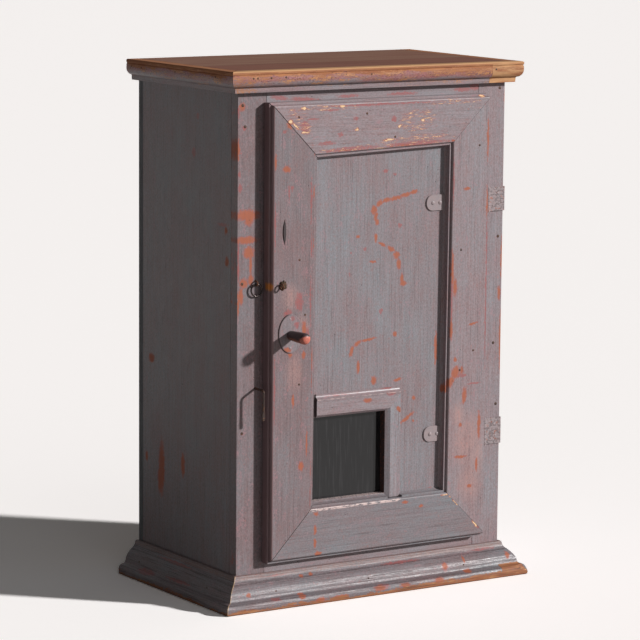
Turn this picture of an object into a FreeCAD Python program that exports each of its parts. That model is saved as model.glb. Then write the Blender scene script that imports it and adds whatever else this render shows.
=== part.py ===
import FreeCAD, Part

import math
import os

from FreeCAD import Vector

# Millimetres. The floor is z = 0, x = 0 is the middle of the width, and y = 0 is half way
# from the knob's tip to the back. A depth is counted back from the face frame's front, so
# what stands out in front of the frame has a negative depth.

# Carcase
HEIGHT = 980.0
BODY_WIDTH = 585.0
BASE_DEPTH = 400.0
BASE_REACH = 42.5
BASE_HEIGHT = 62.0
BASE_SPRUNG = 2.5
BASE_WEAR_REACH = 35.0
BASE_WEAR_Z = 17.0
BASE_WEAR_FACING = Vector(4.0, -16.0, 13.0)
CORNICE_SPRUNG = 1.5
CORNICE_REACH = 25.4
CORNICE_HEIGHT = 39.0
SIDE_THICK = 20.0
FRAME_THICK = 22.0
BACK_THICK = 16.0
TOP_THICK = 22.0
HOUSING_DEPTH = 6.0
STILE_WIDTH = 60.0
OPENING_LOW = 88.0
OPENING_HIGH = 915.0
BOTTOM_BOARD_LOW = 66.0
BOTTOM_BOARD_HIGH = 86.0
TENON_LENGTH = 30.0
TENON_THICK = 8.0
SHELF_LOW_FACES = (350.0, 630.0)
SHELF_THICK = 18.0
SHELF_FRONT = 48.0
CLEAT_WIDTH = 18.0
CLEAT_HEIGHT = 22.0
CLEAT_FRONT = 70.0
CLEAT_LENGTH = 230.0

# Door
DOOR_LEFT = -237.6
DOOR_RIGHT = 240.0
DOOR_LOW = 81.5
DOOR_HIGH = 922.0
DOOR_GAP = 3.0
LIP_BACK = -1.0
PANEL_FACE = -8.0
BOARD_BACK = 12.0
FRAME_FACE = -25.0
BOARD_JOINTS = (-31.0, 111.0)
TONGUE = 5.0
BATTEN_THICK = 18.0
BATTEN_HEIGHT = 62.0
BATTEN_HALF = 205.0
BATTEN_LOWS = (98.0, 790.0)

# Applied frame: the corners of its face, outside and inside, measured one by one
# because the old frame isn't quite square
FACE_WIDTH = 80.0
OUTER_MOULD = 9.0
FACE_OUTER = {
    "left low": (-228.6, 90.5),
    "left high": (-228.6, 913.0),
    "right low": (240.0, 90.5),
    "right high": (240.0, 913.0),
}
FACE_INNER = {
    "left low": (-150.0, 172.0),
    "left high": (-145.5, 829.0),
    "right low": (158.0, 171.0),
    "right high": (162.5, 838.0),
}
MITRE_GAPS = {"left low": 1.0, "left high": 1.2, "right low": 0.4, "right high": 0.4}

# A split in the left stile of the applied frame: its middle, half its length and its depth
SPLIT_X = -207.4
SPLIT_Z = 689.0
SPLIT_HALF = 23.5
SPLIT_DEEP = 5.0

# Window in the door
WINDOW_LEFT = -134.0
WINDOW_RIGHT = 24.7
WINDOW_LOW = 184.5
WINDOW_HIGH = 340.5
REBATE = 7.0
GLASS_FACE = 7.0
GLASS_THICK = 2.5
TRIM_FACE = -13.0
TRIM_INNER_X = 33.6
TRIM_OUTER_X = 56.0
TRIM_INNER_Z = 345.2
TRIM_FLAT_TOP = 372.5
TRIM_TOP = 384.0
TRIM_LEFT = -129.0
TRIM_FOOT = 176.5
BEAD = 8.0

# Hinges
HINGE_X = 251.0
HINGE_DEPTH = -8.5
PIN_RADIUS = 2.5
PIN_CLEARANCE = 0.05
BARREL_RADIUS = 4.6
IRON_THICK = 2.6
STRAP_TIP_X = 110.5
STRAP_HEIGHT = 30.0
LEAF_WRAP = 38.0
KNUCKLE_GAP = 0.4
HINGES = {"upper": (698.7, 744.2, 722.5), "lower": (252.9, 303.0, 286.5)}
KNUCKLE_SHARES = (0.27, 0.15, 0.26, 0.17, 0.15)
STRAP_NAIL_X = (125.0, 141.0)
STRAP_NAIL_HEAD = 3.9
LEAF_NAIL_X = (279.0, 281.5)
LEAF_NAIL_DEPTHS = (14.0, 30.0)

# Knob and latch
KNOB_X = -195.0
KNOB_Z = 501.0
KNOB_LENGTH = 55.5
KNOB_REACH = 82.5
SPINDLE_RADIUS = 6.0
RUNNING_CLEARANCE = 0.08
PLATE_HALF_WIDTH = 25.5
PLATE_HALF_HEIGHT = 36.0
PLATE_THICK = 1.6
PLATE_CENTRE_Z = 503.5
PLATE_NAIL_Z = (477.5, 530.5)
LATCH_BACK = 36.0
LATCH_FRONT = 24.0
LATCH_HALF_WIDTH = 11.0
LATCH_REACH = 56.0
LATCH_TAIL = 22.0
SQUARE = 8.4

# Bent nail, ring and eye
NAIL_X = -253.5
NAIL_Z = 404.6
NAIL_RADIUS = 2.3
NAIL_DEPTH = -29.5
NAIL_ARM = 57.0
RING_X = -254.5
RING_PIVOT_Z = 596.0
RING_DEPTH = -5.0
RING_RADIUS = 11.2
RING_WIRE = 1.5
STAPLE_HALF = 4.0
STAPLE_WIRE = 1.3
EYE_X = -217.0
EYE_Z = 591.0
EYE_RADIUS = 5.2
EYE_WIRE = 1.6

# Cut nails: where their heads show, as x and z on a front face or depth and z on a side
MOULD_NAIL_RADIUS = 1.7
CORNICE_NAIL_X = (-275.0, -266.0, -238.0, -207.0, -24.0, 254.0)
CORNICE_NAIL_Z = 967.0
CORNICE_NAIL_REACH = 24.9
CORNICE_SIDE_NAIL_DEPTHS = (36.0, 178.0, 302.0, 340.0)
BASE_NAIL_X = (-222.0, -20.0, 196.0)
BASE_NAIL_Z = 30.0
BASE_NAIL_REACH = 25.8
BASE_SIDE_NAIL_DEPTHS = (58.0, 307.0)
STILE_NAILS = ((-277.0, 880.0), (-282.0, 918.0), (-282.0, 597.0), (-281.0, 324.0),
               (281.0, 930.0), (282.0, 650.0), (275.0, 447.0), (283.0, 329.0))
FRAME_NAILS = ((-179.0, 895.0), (-33.0, 896.0), (29.0, 851.0), (219.0, 827.0), (180.0, 633.0),
               (211.0, 441.0), (181.0, 406.0), (-176.0, 637.0), (-163.0, 536.0), (-175.0, 409.0))

HALF = BODY_WIDTH / 2
BACK = (BASE_DEPTH - BASE_REACH + KNOB_REACH) / 2
FRONT = KNOB_REACH - BACK
OPENING_HALF = HALF - STILE_WIDTH
TOP_LOW = HEIGHT - TOP_THICK
SIDE_BACK = BACK - FRONT - BACK_THICK


def block(x, depth, z):
    """A squared piece, each argument its low and high value."""
    size = (x[1] - x[0], depth[1] - depth[0], z[1] - z[0])
    return Part.makeBox(*size, Vector(x[0], FRONT + depth[0], z[0]))


def eased(shape, width=0.7):
    """The piece with its arrises taken off, as a plane leaves them."""
    return shape.makeChamfer(width, shape.Edges)


def outline(drawing, place):
    """The drawing as a closed run of edges. A step of two values is a line to that point,
    one of four is an arc through the first point to the second."""
    edges = []
    here = drawing[0]
    for step in drawing[1:] + drawing[:1]:
        start, end = place(*here), place(*step[-2:])
        if len(step) == 4:
            edges.append(Part.Arc(start, place(*step[:2]), end).toShape())
        else:
            edges.append(Part.makeLine(start, end))
        here = step[-2:]
    return edges


def run(drawing, place_a, place_b):
    """A length of moulding lofted between two ends, each with its own mitre or square cut."""
    end_a, end_b = outline(drawing, place_a), outline(drawing, place_b)
    faces = [Part.Face(Part.Wire(end_a)), Part.Face(Part.Wire(end_b))]
    for edge_a, edge_b in zip(end_a, end_b):
        points = [edge_a.Vertexes[0].Point, edge_a.Vertexes[1].Point, edge_b.Vertexes[1].Point,
                  edge_b.Vertexes[0].Point]
        if isinstance(edge_a.Curve, Part.Line) and is_flat(points):
            faces.append(Part.Face(Part.makePolygon(points + points[:1])))
        else:
            faces.append(Part.makeRuledSurface(edge_a, edge_b))
    shell = Part.makeShell(faces)
    shell.sewShape()
    solid = Part.makeSolid(shell)
    if solid.Volume < 0:
        solid.reverse()
    return solid


def is_flat(points):
    """Whether four corners lie in one plane, which those of a sprung length don't."""
    first, second, third, last = points
    return abs((second - first).cross(third - first).dot(last - first)) < 1e-3


def prism(drawing, place, along):
    """A flat drawing pushed out by a vector."""
    return Part.Face(Part.Wire(outline(drawing, place))).extrude(along)


def turned(drawing, centre, axis):
    """A piece turned on the lathe from radius and distance along the axis."""
    across = Vector(0, 0, 1) if abs(axis.z) < 0.5 else Vector(1, 0, 0)
    face = Part.Face(Part.Wire(outline(drawing, lambda r, d: centre + across * r + axis * d)))
    return face.revolve(centre, axis, 360)


def cylinder(radius, start, end):
    return Part.makeCylinder(radius, (end - start).Length, start, end - start)


def bar(path, radius):
    """Round iron bar along a path of edges."""
    first = path[0]
    start = first.valueAt(first.FirstParameter)
    circle = Part.makeCircle(radius, start, first.tangentAt(first.FirstParameter))
    return Part.Wire(path).makePipeShell([Part.Wire(circle)], True, True)


def nail(head, inward, length, radius=1.6, head_radius=2.6, rise=0.6):
    """A cut nail with a low domed head, its head's underside at the given point."""
    dome = [(0.0, 0.0), (head_radius, 0.0), (head_radius * 0.92, -0.4 * rise),
            (head_radius * 0.6, -0.82 * rise, head_radius * 0.25, -rise), (0.0, -rise)]
    return turned(dome, head, inward).fuse(cylinder(radius, head, head + inward * length))


def side_boards():
    """Two sides, each with a housing for the bottom board."""
    board = block((-HALF, SIDE_THICK - HALF), (FRAME_THICK, SIDE_BACK), (0, TOP_LOW))
    housing = block((SIDE_THICK - HALF - HOUSING_DEPTH, SIDE_THICK), (0, SIDE_BACK + 1),
                    (BOTTOM_BOARD_LOW, BOTTOM_BOARD_HIGH))
    left = board.cut(housing)
    return {"side_left": left, "side_right": left.mirror(Vector(0, 0, 0), Vector(1, 0, 0))}


def inner_boards():
    """The bottom board in its housings, the top board, and two shelves on cleats."""
    inside = HALF - SIDE_THICK
    bottom = block((-inside - HOUSING_DEPTH, inside + HOUSING_DEPTH), (FRAME_THICK, SIDE_BACK),
                   (BOTTOM_BOARD_LOW, BOTTOM_BOARD_HIGH))
    top = block((-HALF, HALF), (0, SIDE_BACK + BACK_THICK), (TOP_LOW, HEIGHT))
    pieces = {"bottom_board": bottom, "top_board": eased(top)}
    for name, low in zip(("lower", "upper"), SHELF_LOW_FACES):
        shelf = block((-inside + 0.3, inside - 0.3), (SHELF_FRONT, SIDE_BACK - 0.3), (low, low + SHELF_THICK))
        pieces["shelf_" + name] = eased(shelf)
        cleat = block((-inside, -inside + CLEAT_WIDTH), (CLEAT_FRONT, CLEAT_FRONT + CLEAT_LENGTH),
                      (low - CLEAT_HEIGHT, low))
        cleat = cleat.makeChamfer(5.0, [edge for edge in cleat.Edges if is_cleat_nose(edge, low, inside)])
        pair = [cleat, cleat.mirror(Vector(0, 0, 0), Vector(1, 0, 0))]
        pieces["shelf_cleats_" + name] = Part.makeCompound(pair)
    return pieces


def is_cleat_nose(edge, low, inside):
    """The long lower arris of a cleat, on the side away from the wall."""
    middle = edge.CenterOfMass
    return (edge.Length > CLEAT_LENGTH - 1 and abs(middle.z - (low - CLEAT_HEIGHT)) < 0.1
            and abs(middle.x - (CLEAT_WIDTH - inside)) < 0.1)


def back_boards():
    """Three boards, half-lapped where they meet, nailed over the backs of the sides."""
    edges = (-HALF, -HALF / 3, HALF / 3, HALF)
    lap, half = 10.0, BACK_THICK / 2
    pieces = {}
    for index, name in enumerate(("left", "middle", "right")):
        board = block((edges[index], edges[index + 1]), (SIDE_BACK, SIDE_BACK + BACK_THICK), (0, TOP_LOW))
        if index < 2:
            tongue = block((edges[index + 1], edges[index + 1] + lap), (SIDE_BACK, SIDE_BACK + half), (0, TOP_LOW))
            board = board.fuse(tongue).removeSplitter()
        if index > 0:
            rebate = block((edges[index], edges[index] + lap + 0.4), (SIDE_BACK, SIDE_BACK + half), (0, TOP_LOW))
            board = board.cut(rebate)
        pieces["back_board_" + name] = board
    return pieces


def face_frame():
    """Stiles from floor to top board, rails tenoned between them."""
    stile = block((-HALF, -OPENING_HALF), (0, FRAME_THICK), (0, TOP_LOW))
    stile = stile.makeChamfer(0.7, [edge for edge in stile.Edges if edge.Length > TOP_LOW - 1])
    tenon_depth = ((FRAME_THICK - TENON_THICK) / 2, (FRAME_THICK + TENON_THICK) / 2)
    spans = {"face_rail_bottom": (4.0, OPENING_LOW), "face_rail_top": (OPENING_HIGH, TOP_LOW)}
    pieces = {}
    for name, (low, high) in spans.items():
        rail = block((-OPENING_HALF, OPENING_HALF), (0, FRAME_THICK), (low, high))
        rail = rail.makeChamfer(0.7, rail.Edges)
        tenon = block((-OPENING_HALF - TENON_LENGTH, OPENING_HALF + TENON_LENGTH), tenon_depth, (low + 8, high - 8))
        pieces[name] = rail.fuse(tenon)
        stile = stile.cut(tenon)
    pieces["face_stile_left"] = stile
    pieces["face_stile_right"] = stile.mirror(Vector(0, 0, 0), Vector(1, 0, 0))
    return pieces


def corner_run(drawing, name, sprung):
    """One moulding round the carcase, as a front length and two returns, mitred in front.
    The returns have sprung away from the sides towards the back."""
    def mitre(side):
        return lambda reach, z: Vector(side * (HALF + reach), FRONT - reach, z)

    def square_end(side):
        return lambda reach, z: Vector(side * (HALF + reach + sprung), BACK, z)

    return {
        name + "_front": run(drawing, mitre(-1), mitre(1)),
        name + "_left": run(drawing, mitre(-1), square_end(-1)),
        name + "_right": run(drawing, mitre(1), square_end(1)),
    }


def cornice():
    """A square edge with worn arrises, a quirk, a large ovolo and a flat fillet below."""
    low = HEIGHT - CORNICE_HEIGHT
    drawing = [(0.0, low), (13.6, low), (14.2, low + 8.6), (15.6, low + 9.8),
               (23.0, low + 15.2, 25.2, low + 24.5), (25.0, low + 30.4), (23.9, low + 31.6),
               (24.4, low + 32.8), (CORNICE_REACH, low + 34.0), (CORNICE_REACH, HEIGHT - 1.8),
               (CORNICE_REACH - 1.6, HEIGHT), (0.0, HEIGHT)]
    return corner_run(drawing, "cornice", CORNICE_SPRUNG)


def base_moulding():
    """From the top: fillet, cove, quirk, ovolo with a flat face, fillet and a torus,
    which is worn away at the right front corner."""
    drawing = [(0.0, 0.0), (41.0, 0.0), (BASE_REACH - 0.4, 2.2), (BASE_REACH, 8.0),
               (BASE_REACH - 1.7, 15.2, 35.0, 19.2),
               (31.0, 20.2), (28.8, 21.6), (27.4, 25.0), (25.0, 33.2, 20.4, 40.2), (18.8, 42.0),
               (14.0, 46.8), (12.8, 47.8), (8.6, 52.0, 6.2, 58.8), (5.6, 60.8), (4.2, BASE_HEIGHT),
               (0.0, BASE_HEIGHT)]
    pieces = corner_run(drawing, "base_moulding", BASE_SPRUNG)
    worn_off = Part.makeBox(200, 200, 60, Vector(-100, -100, 0))
    worn_off.Placement = FreeCAD.Placement(
        Vector(HALF + BASE_WEAR_REACH, FRONT - BASE_WEAR_REACH, BASE_WEAR_Z),
        FreeCAD.Rotation(Vector(0, 0, 1), BASE_WEAR_FACING))
    for name in ("base_moulding_front", "base_moulding_right"):
        pieces[name] = pieces[name].cut(worn_off)
    return pieces


def door_boards():
    """Three boards, tongued together, with a lip all round that covers the face frame."""
    edges = (DOOR_LEFT,) + BOARD_JOINTS + (DOOR_RIGHT,)
    inset = OPENING_HALF - DOOR_GAP
    inset_z = (OPENING_LOW + DOOR_GAP, OPENING_HIGH - DOOR_GAP)
    opening = block((WINDOW_LEFT, WINDOW_RIGHT), (PANEL_FACE - 1, BOARD_BACK + 1), (WINDOW_LOW, WINDOW_HIGH))
    rebate = block((WINDOW_LEFT - REBATE, WINDOW_RIGHT + REBATE), (GLASS_FACE, BOARD_BACK + 1),
                   (WINDOW_LOW - REBATE, WINDOW_HIGH + REBATE))
    window = opening.fuse(rebate)
    pieces = {}
    for index, name in enumerate(("left", "middle", "right")):
        low, high = edges[index], edges[index + 1]
        lip = block((low, high), (PANEL_FACE, LIP_BACK), (DOOR_LOW, DOOR_HIGH))
        body = block((max(low, -inset), min(high, inset)), (LIP_BACK, BOARD_BACK), inset_z)
        board = lip.fuse(body).removeSplitter()
        if index < 2:
            board = board.fuse(block((high, high + TONGUE), (0, 5), inset_z)).removeSplitter()
        if index > 0:
            board = board.cut(block((low, low + TONGUE + 0.3), (0, 5), inset_z))
        pieces["door_board_" + name] = board.cut(window)
    return pieces


def door_battens():
    """Two bevelled battens that hold the door boards together inside."""
    pieces = {}
    for name, low in zip(("lower", "upper"), BATTEN_LOWS):
        batten = block((-BATTEN_HALF, BATTEN_HALF), (BOARD_BACK, BOARD_BACK + BATTEN_THICK),
                       (low, low + BATTEN_HEIGHT))
        inner = FRONT + BOARD_BACK + BATTEN_THICK
        edges = [edge for edge in batten.Edges if abs(edge.BoundBox.YMin - inner) + abs(edge.BoundBox.YMax - inner) < 0.1]
        pieces["door_batten_" + name] = batten.makeChamfer(5.0, edges)
    return pieces


def frame_end(corner):
    """Places a drawing in the mitre of one corner of the applied frame."""
    outer = Vector(FACE_OUTER[corner][0], 0, FACE_OUTER[corner][1])
    inner = Vector(FACE_INNER[corner][0], 0, FACE_INNER[corner][1])
    across = inner - outer

    def place(u, depth):
        if u < 0:
            point = outer + across * (u / abs(across.x))
        elif u > FACE_WIDTH:
            point = inner + across * ((u - FACE_WIDTH) / abs(across.x))
        else:
            point = outer + across * (u / FACE_WIDTH)
        return Vector(point.x, FRONT + depth, point.z)

    return place


def mitre_slot(corner, gap):
    """The thin space along one mitre, as wide as the wood has shrunk there."""
    outer = Vector(FACE_OUTER[corner][0], FRONT - 40, FACE_OUTER[corner][1])
    inner = Vector(FACE_INNER[corner][0], FRONT - 40, FACE_INNER[corner][1])
    along = (inner - outer).normalize()
    aside = along.cross(Vector(0, 1, 0)) * (gap / 2)
    start, end = outer - along * 30, inner + along * 30
    points = [start - aside, end - aside, end + aside, start + aside]
    return Part.Face(Part.makePolygon(points + points[:1])).extrude(Vector(0, 60, 0))


def applied_frame():
    """Four moulded lengths whose mitres have opened. The hinge side has a square outer edge."""
    inner_mould = [(FACE_WIDTH, FRAME_FACE), (FACE_WIDTH + 2.9, -23.7, FACE_WIDTH + 4.0, -20.5),
                   (FACE_WIDTH + 8.0, -20.5), (FACE_WIDTH + 9.0, -12.6, FACE_WIDTH + 12.5, PANEL_FACE)]
    outer_mould = [(-OUTER_MOULD, PANEL_FACE), (-OUTER_MOULD, -18.0), (-5.0, -18.0), (-5.0, -20.2),
                   (-3.7, -23.7, 0.0, FRAME_FACE)]
    moulded = outer_mould + inner_mould
    square = [(0.0, PANEL_FACE), (0.0, FRAME_FACE)] + inner_mould
    ends = {corner: frame_end(corner) for corner in FACE_OUTER}
    beyond = block((DOOR_RIGHT, DOOR_RIGHT + 50), (-40, 40), (0, HEIGHT))
    pieces = {
        "door_stile_left": run(moulded, ends["left low"], ends["left high"]),
        "door_rail_top": run(moulded, ends["left high"], ends["right high"]).cut(beyond),
        "door_rail_bottom": run(moulded, ends["left low"], ends["right low"]).cut(beyond),
        "door_stile_right": run(square, ends["right low"], ends["right high"]),
    }
    split = [(SPLIT_X - 0.6, SPLIT_Z + SPLIT_HALF),
             (SPLIT_X - 5.2, SPLIT_Z, SPLIT_X - 0.4, SPLIT_Z - SPLIT_HALF), (SPLIT_X + 0.8, SPLIT_Z - SPLIT_HALF),
             (SPLIT_X - 2.6, SPLIT_Z, SPLIT_X + 0.6, SPLIT_Z + SPLIT_HALF)]
    split = prism(split, lambda x, z: Vector(x, FRONT + FRAME_FACE - 1, z), Vector(0, SPLIT_DEEP + 1, 0))
    pieces["door_stile_left"] = pieces["door_stile_left"].cut(split)
    for low, high, strap_z in HINGES.values():
        housing = block((140, DOOR_RIGHT + 1), (PANEL_FACE - IRON_THICK, PANEL_FACE),
                        (strap_z - STRAP_HEIGHT / 2 - 0.4, strap_z + STRAP_HEIGHT / 2 + 0.4))
        pieces["door_stile_right"] = pieces["door_stile_right"].cut(housing)
    for corner, gap in MITRE_GAPS.items():
        slot = mitre_slot(corner, gap)
        height, side = ("rail_bottom" if "low" in corner else "rail_top"), "stile_" + corner.split()[0]
        for name in ("door_" + height, "door_" + side):
            pieces[name] = pieces[name].cut(slot)
    notch = block((WINDOW_RIGHT, TRIM_OUTER_X + 0.5), (-40, PANEL_FACE), (TRIM_FOOT - 0.9, WINDOW_LOW + 5))
    pieces["door_rail_bottom"] = pieces["door_rail_bottom"].cut(notch)
    return pieces


def window_trim():
    """The moulded rail over the window and the bevelled stile at its right, mitred."""
    rail_drawing = [(PANEL_FACE, WINDOW_HIGH), (TRIM_FACE, TRIM_INNER_Z), (TRIM_FACE, TRIM_FLAT_TOP - 0.6),
                    (TRIM_FACE - 1.0, TRIM_FLAT_TOP), (TRIM_FACE - 1.0, TRIM_FLAT_TOP + 2.6),
                    (TRIM_FACE + 2.2, TRIM_TOP - 6.6, TRIM_FACE + 3.6, TRIM_TOP), (PANEL_FACE, TRIM_TOP)]
    rail = prism(rail_drawing, lambda depth, z: Vector(TRIM_LEFT, FRONT + depth, z),
                 Vector(TRIM_OUTER_X - TRIM_LEFT, 0, 0))
    stile_drawing = [(WINDOW_RIGHT, PANEL_FACE), (TRIM_INNER_X, TRIM_FACE), (TRIM_OUTER_X, TRIM_FACE),
                     (TRIM_OUTER_X, PANEL_FACE)]
    stile = prism(stile_drawing, lambda x, depth: Vector(x, FRONT + depth, TRIM_FOOT), Vector(0, 0, 300))
    share = [(WINDOW_RIGHT, 0.0), (WINDOW_RIGHT, WINDOW_HIGH), (TRIM_INNER_X, TRIM_INNER_Z),
             (TRIM_OUTER_X, TRIM_FLAT_TOP - 0.6), (TRIM_OUTER_X + 5, TRIM_FLAT_TOP - 0.6), (TRIM_OUTER_X + 5, 0.0)]
    share = prism(share, lambda x, z: Vector(x, FRONT - 40, z), Vector(0, 60, 0))
    return {"window_rail": rail.cut(share), "window_stile": stile.common(share)}


def glazing():
    """The pane in its rebate and four beads that hold it from inside."""
    rebate_x = (WINDOW_LEFT - REBATE, WINDOW_RIGHT + REBATE)
    rebate_z = (WINDOW_LOW - REBATE, WINDOW_HIGH + REBATE)
    bead_depth = (GLASS_FACE + GLASS_THICK, GLASS_FACE + GLASS_THICK + BEAD)
    pane = block((rebate_x[0] + 0.5, rebate_x[1] - 0.5), (GLASS_FACE, GLASS_FACE + GLASS_THICK),
                 (rebate_z[0] + 0.5, rebate_z[1] - 0.5))
    beads = []
    for low, high in ((rebate_z[0], rebate_z[0] + BEAD), (rebate_z[1] - BEAD, rebate_z[1])):
        beads.append(block(rebate_x, bead_depth, (low, high)))
    for low, high in ((rebate_x[0], rebate_x[0] + BEAD), (rebate_x[1] - BEAD, rebate_x[1])):
        beads.append(block((low, high), bead_depth, (rebate_z[0] + BEAD, rebate_z[1] - BEAD)))
    return {"window_glass": pane, "glazing_beads": Part.makeCompound([eased(bead, 0.6) for bead in beads])}


def strap_outline(low, high):
    """The strap seen from the front, with a rounded end like a letter D."""
    middle, half, turn = (low + high) / 2, (high - low) / 2, 14.0
    diagonal = turn * (1 - math.sqrt(0.5))
    return [(HINGE_X, low), (HINGE_X, high), (STRAP_TIP_X + turn, high),
            (STRAP_TIP_X + diagonal, high - diagonal, STRAP_TIP_X, middle + half - turn),
            (STRAP_TIP_X, middle - half + turn),
            (STRAP_TIP_X + diagonal, low + diagonal, STRAP_TIP_X + turn, low)]


def hinge(name, low, high, strap_z):
    """A strap on the door and a leaf round the corner of the frame, on one pin."""
    axis = Vector(HINGE_X, FRONT + HINGE_DEPTH, 0)
    strap_low, strap_high = strap_z - STRAP_HEIGHT / 2, strap_z + STRAP_HEIGHT / 2
    strap = prism(strap_outline(strap_low, strap_high), lambda x, z: Vector(x, FRONT + PANEL_FACE, z),
                  Vector(0, -IRON_THICK, 0))
    strap = strap.makeChamfer(0.9, [edge for edge in strap.Edges if edge.BoundBox.YMax < FRONT + PANEL_FACE - 2
                                    and edge.BoundBox.XMax < HINGE_X - 1])
    leaf = block((HINGE_X, HALF + IRON_THICK), (-IRON_THICK, 0), (low, high))
    wrap = block((HALF, HALF + IRON_THICK), (0, LEAF_WRAP), (low, high))
    web = block((HINGE_X, HINGE_X + BARREL_RADIUS), (HINGE_DEPTH, -0.1), (low, high))
    leaf = leaf.fuse([wrap, web])
    corner = [edge for edge in leaf.Edges if abs(edge.CenterOfMass.x - HALF - IRON_THICK) < 0.01
              and abs(edge.CenterOfMass.y - FRONT + IRON_THICK) < 0.01]
    leaf = leaf.makeFillet(2.2, corner)
    base = low
    for index, share in enumerate(KNUCKLE_SHARES):
        top = base + share * (high - low)
        knuckle = Part.makeCylinder(BARREL_RADIUS, top - base - KNUCKLE_GAP, axis + Vector(0, 0, base + KNUCKLE_GAP / 2))
        room = Part.makeCylinder(BARREL_RADIUS + 0.4, top - base, axis + Vector(0, 0, base))
        side_room = block((HINGE_X - 12, HINGE_X + 0.5), (-30, 30), (base, top))
        if index % 2 == 0:
            leaf = leaf.fuse(knuckle)
            strap = strap.cut(room).cut(block((HINGE_X - 5.2, HINGE_X + 6), (-30, 30), (base, top)))
        else:
            neck = block((DOOR_RIGHT + 0.3, HINGE_X), (PANEL_FACE - IRON_THICK, PANEL_FACE),
                         (base + KNUCKLE_GAP / 2, top - KNUCKLE_GAP / 2))
            strap = strap.fuse([knuckle, neck])
            leaf = leaf.cut(room).cut(side_room)
        base = top
    hole = Part.makeCylinder(PIN_RADIUS, high - low + 20, axis + Vector(0, 0, low - 10))
    running = Part.makeCylinder(PIN_RADIUS + PIN_CLEARANCE, high - low + 20, axis + Vector(0, 0, low - 10))
    pin = turned([(0.0, -1.2), (PIN_RADIUS, -1.2), (PIN_RADIUS, high - low), (BARREL_RADIUS - 0.8, high - low),
                  (BARREL_RADIUS - 0.9, high - low + 1.2), (2.6, high - low + 2.3, 1.0, high - low + 2.7),
                  (0.0, high - low + 2.7)],
                 axis + Vector(0, 0, low), Vector(0, 0, 1))
    return {
        "hinge_strap_" + name: strap.cut(running).removeSplitter(),
        "hinge_leaf_" + name: leaf.cut(hole).removeSplitter(),
        "hinge_pin_" + name: pin,
    }


def hinge_nails():
    """Nails through the straps and the leaves, one group for each side of the hinges."""
    inward = Vector(0, 1, 0)
    straps, leaves = [], []
    for low, high, strap_z in HINGES.values():
        for x in STRAP_NAIL_X:
            head = Vector(x, FRONT + PANEL_FACE - IRON_THICK, strap_z)
            straps.append(nail(head, inward, 20.0, 1.6, STRAP_NAIL_HEAD, 1.6))
        for index, x in enumerate(LEAF_NAIL_X):
            z = high - (high - low) * (0.27 + 0.42 * index)
            leaves.append(nail(Vector(x, FRONT - IRON_THICK, z), inward, 20.0))
        for index, depth in enumerate(LEAF_NAIL_DEPTHS):
            z = low + (high - low) * (0.3 + 0.4 * index)
            leaves.append(nail(Vector(HALF + IRON_THICK, FRONT + depth, z), Vector(-1, 0, 0), 16.0))
    return {"strap_nails": Part.makeCompound(straps), "leaf_nails": Part.makeCompound(leaves)}


def knob_and_latch():
    """A turned knob whose spindle goes through the door to a wooden latch bar."""
    outward = Vector(0, -1, 0)
    root = Vector(KNOB_X, FRONT + FRAME_FACE - PLATE_THICK - 0.4, KNOB_Z)
    start = root.y - FRONT
    square_low = -(LATCH_FRONT - start)
    drawing = [(0.0, square_low), (SPINDLE_RADIUS, square_low), (SPINDLE_RADIUS, 0.0), (7.8, 0.0),
               (8.4, 0.8), (9.7, 22.0, 10.3, KNOB_LENGTH - 9.5), (9.7, KNOB_LENGTH - 4.8, 7.2, KNOB_LENGTH - 1.6),
               (4.8, KNOB_LENGTH - 0.5, 2.0, KNOB_LENGTH), (0.0, KNOB_LENGTH)]
    knob = turned(drawing, root, outward)
    half = SQUARE / 2
    tang = block((KNOB_X - half, KNOB_X + half), (LATCH_FRONT, LATCH_BACK + 7), (KNOB_Z - half, KNOB_Z + half))
    peg_y = FRONT + LATCH_BACK + 3.2
    peg = cylinder(1.5, Vector(KNOB_X - 9, peg_y, KNOB_Z), Vector(KNOB_X + 9, peg_y, KNOB_Z))
    latch = [(-LATCH_HALF_WIDTH, -LATCH_TAIL + 6), (-6.0, -LATCH_TAIL), (6.0, -LATCH_TAIL),
             (LATCH_HALF_WIDTH, -LATCH_TAIL + 6), (LATCH_HALF_WIDTH, 20.0), (7.5, LATCH_REACH),
             (-7.5, LATCH_REACH), (-LATCH_HALF_WIDTH, 20.0)]
    latch = prism(latch, lambda x, z: Vector(KNOB_X + x, FRONT + LATCH_FRONT, KNOB_Z + z),
                  Vector(0, LATCH_BACK - LATCH_FRONT, 0))
    hub = cylinder(10.5, Vector(KNOB_X, FRONT + BOARD_BACK + 0.4, KNOB_Z), Vector(KNOB_X, FRONT + LATCH_FRONT, KNOB_Z))
    spindle = cylinder(SPINDLE_RADIUS, Vector(KNOB_X, FRONT, KNOB_Z), Vector(KNOB_X, FRONT + LATCH_FRONT, KNOB_Z))
    return {
        "knob": knob.fuse(tang).cut(peg),
        "latch_bar": latch.fuse(hub).cut(tang).cut(spindle).removeSplitter(),
        "latch_peg": peg,
    }


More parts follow.
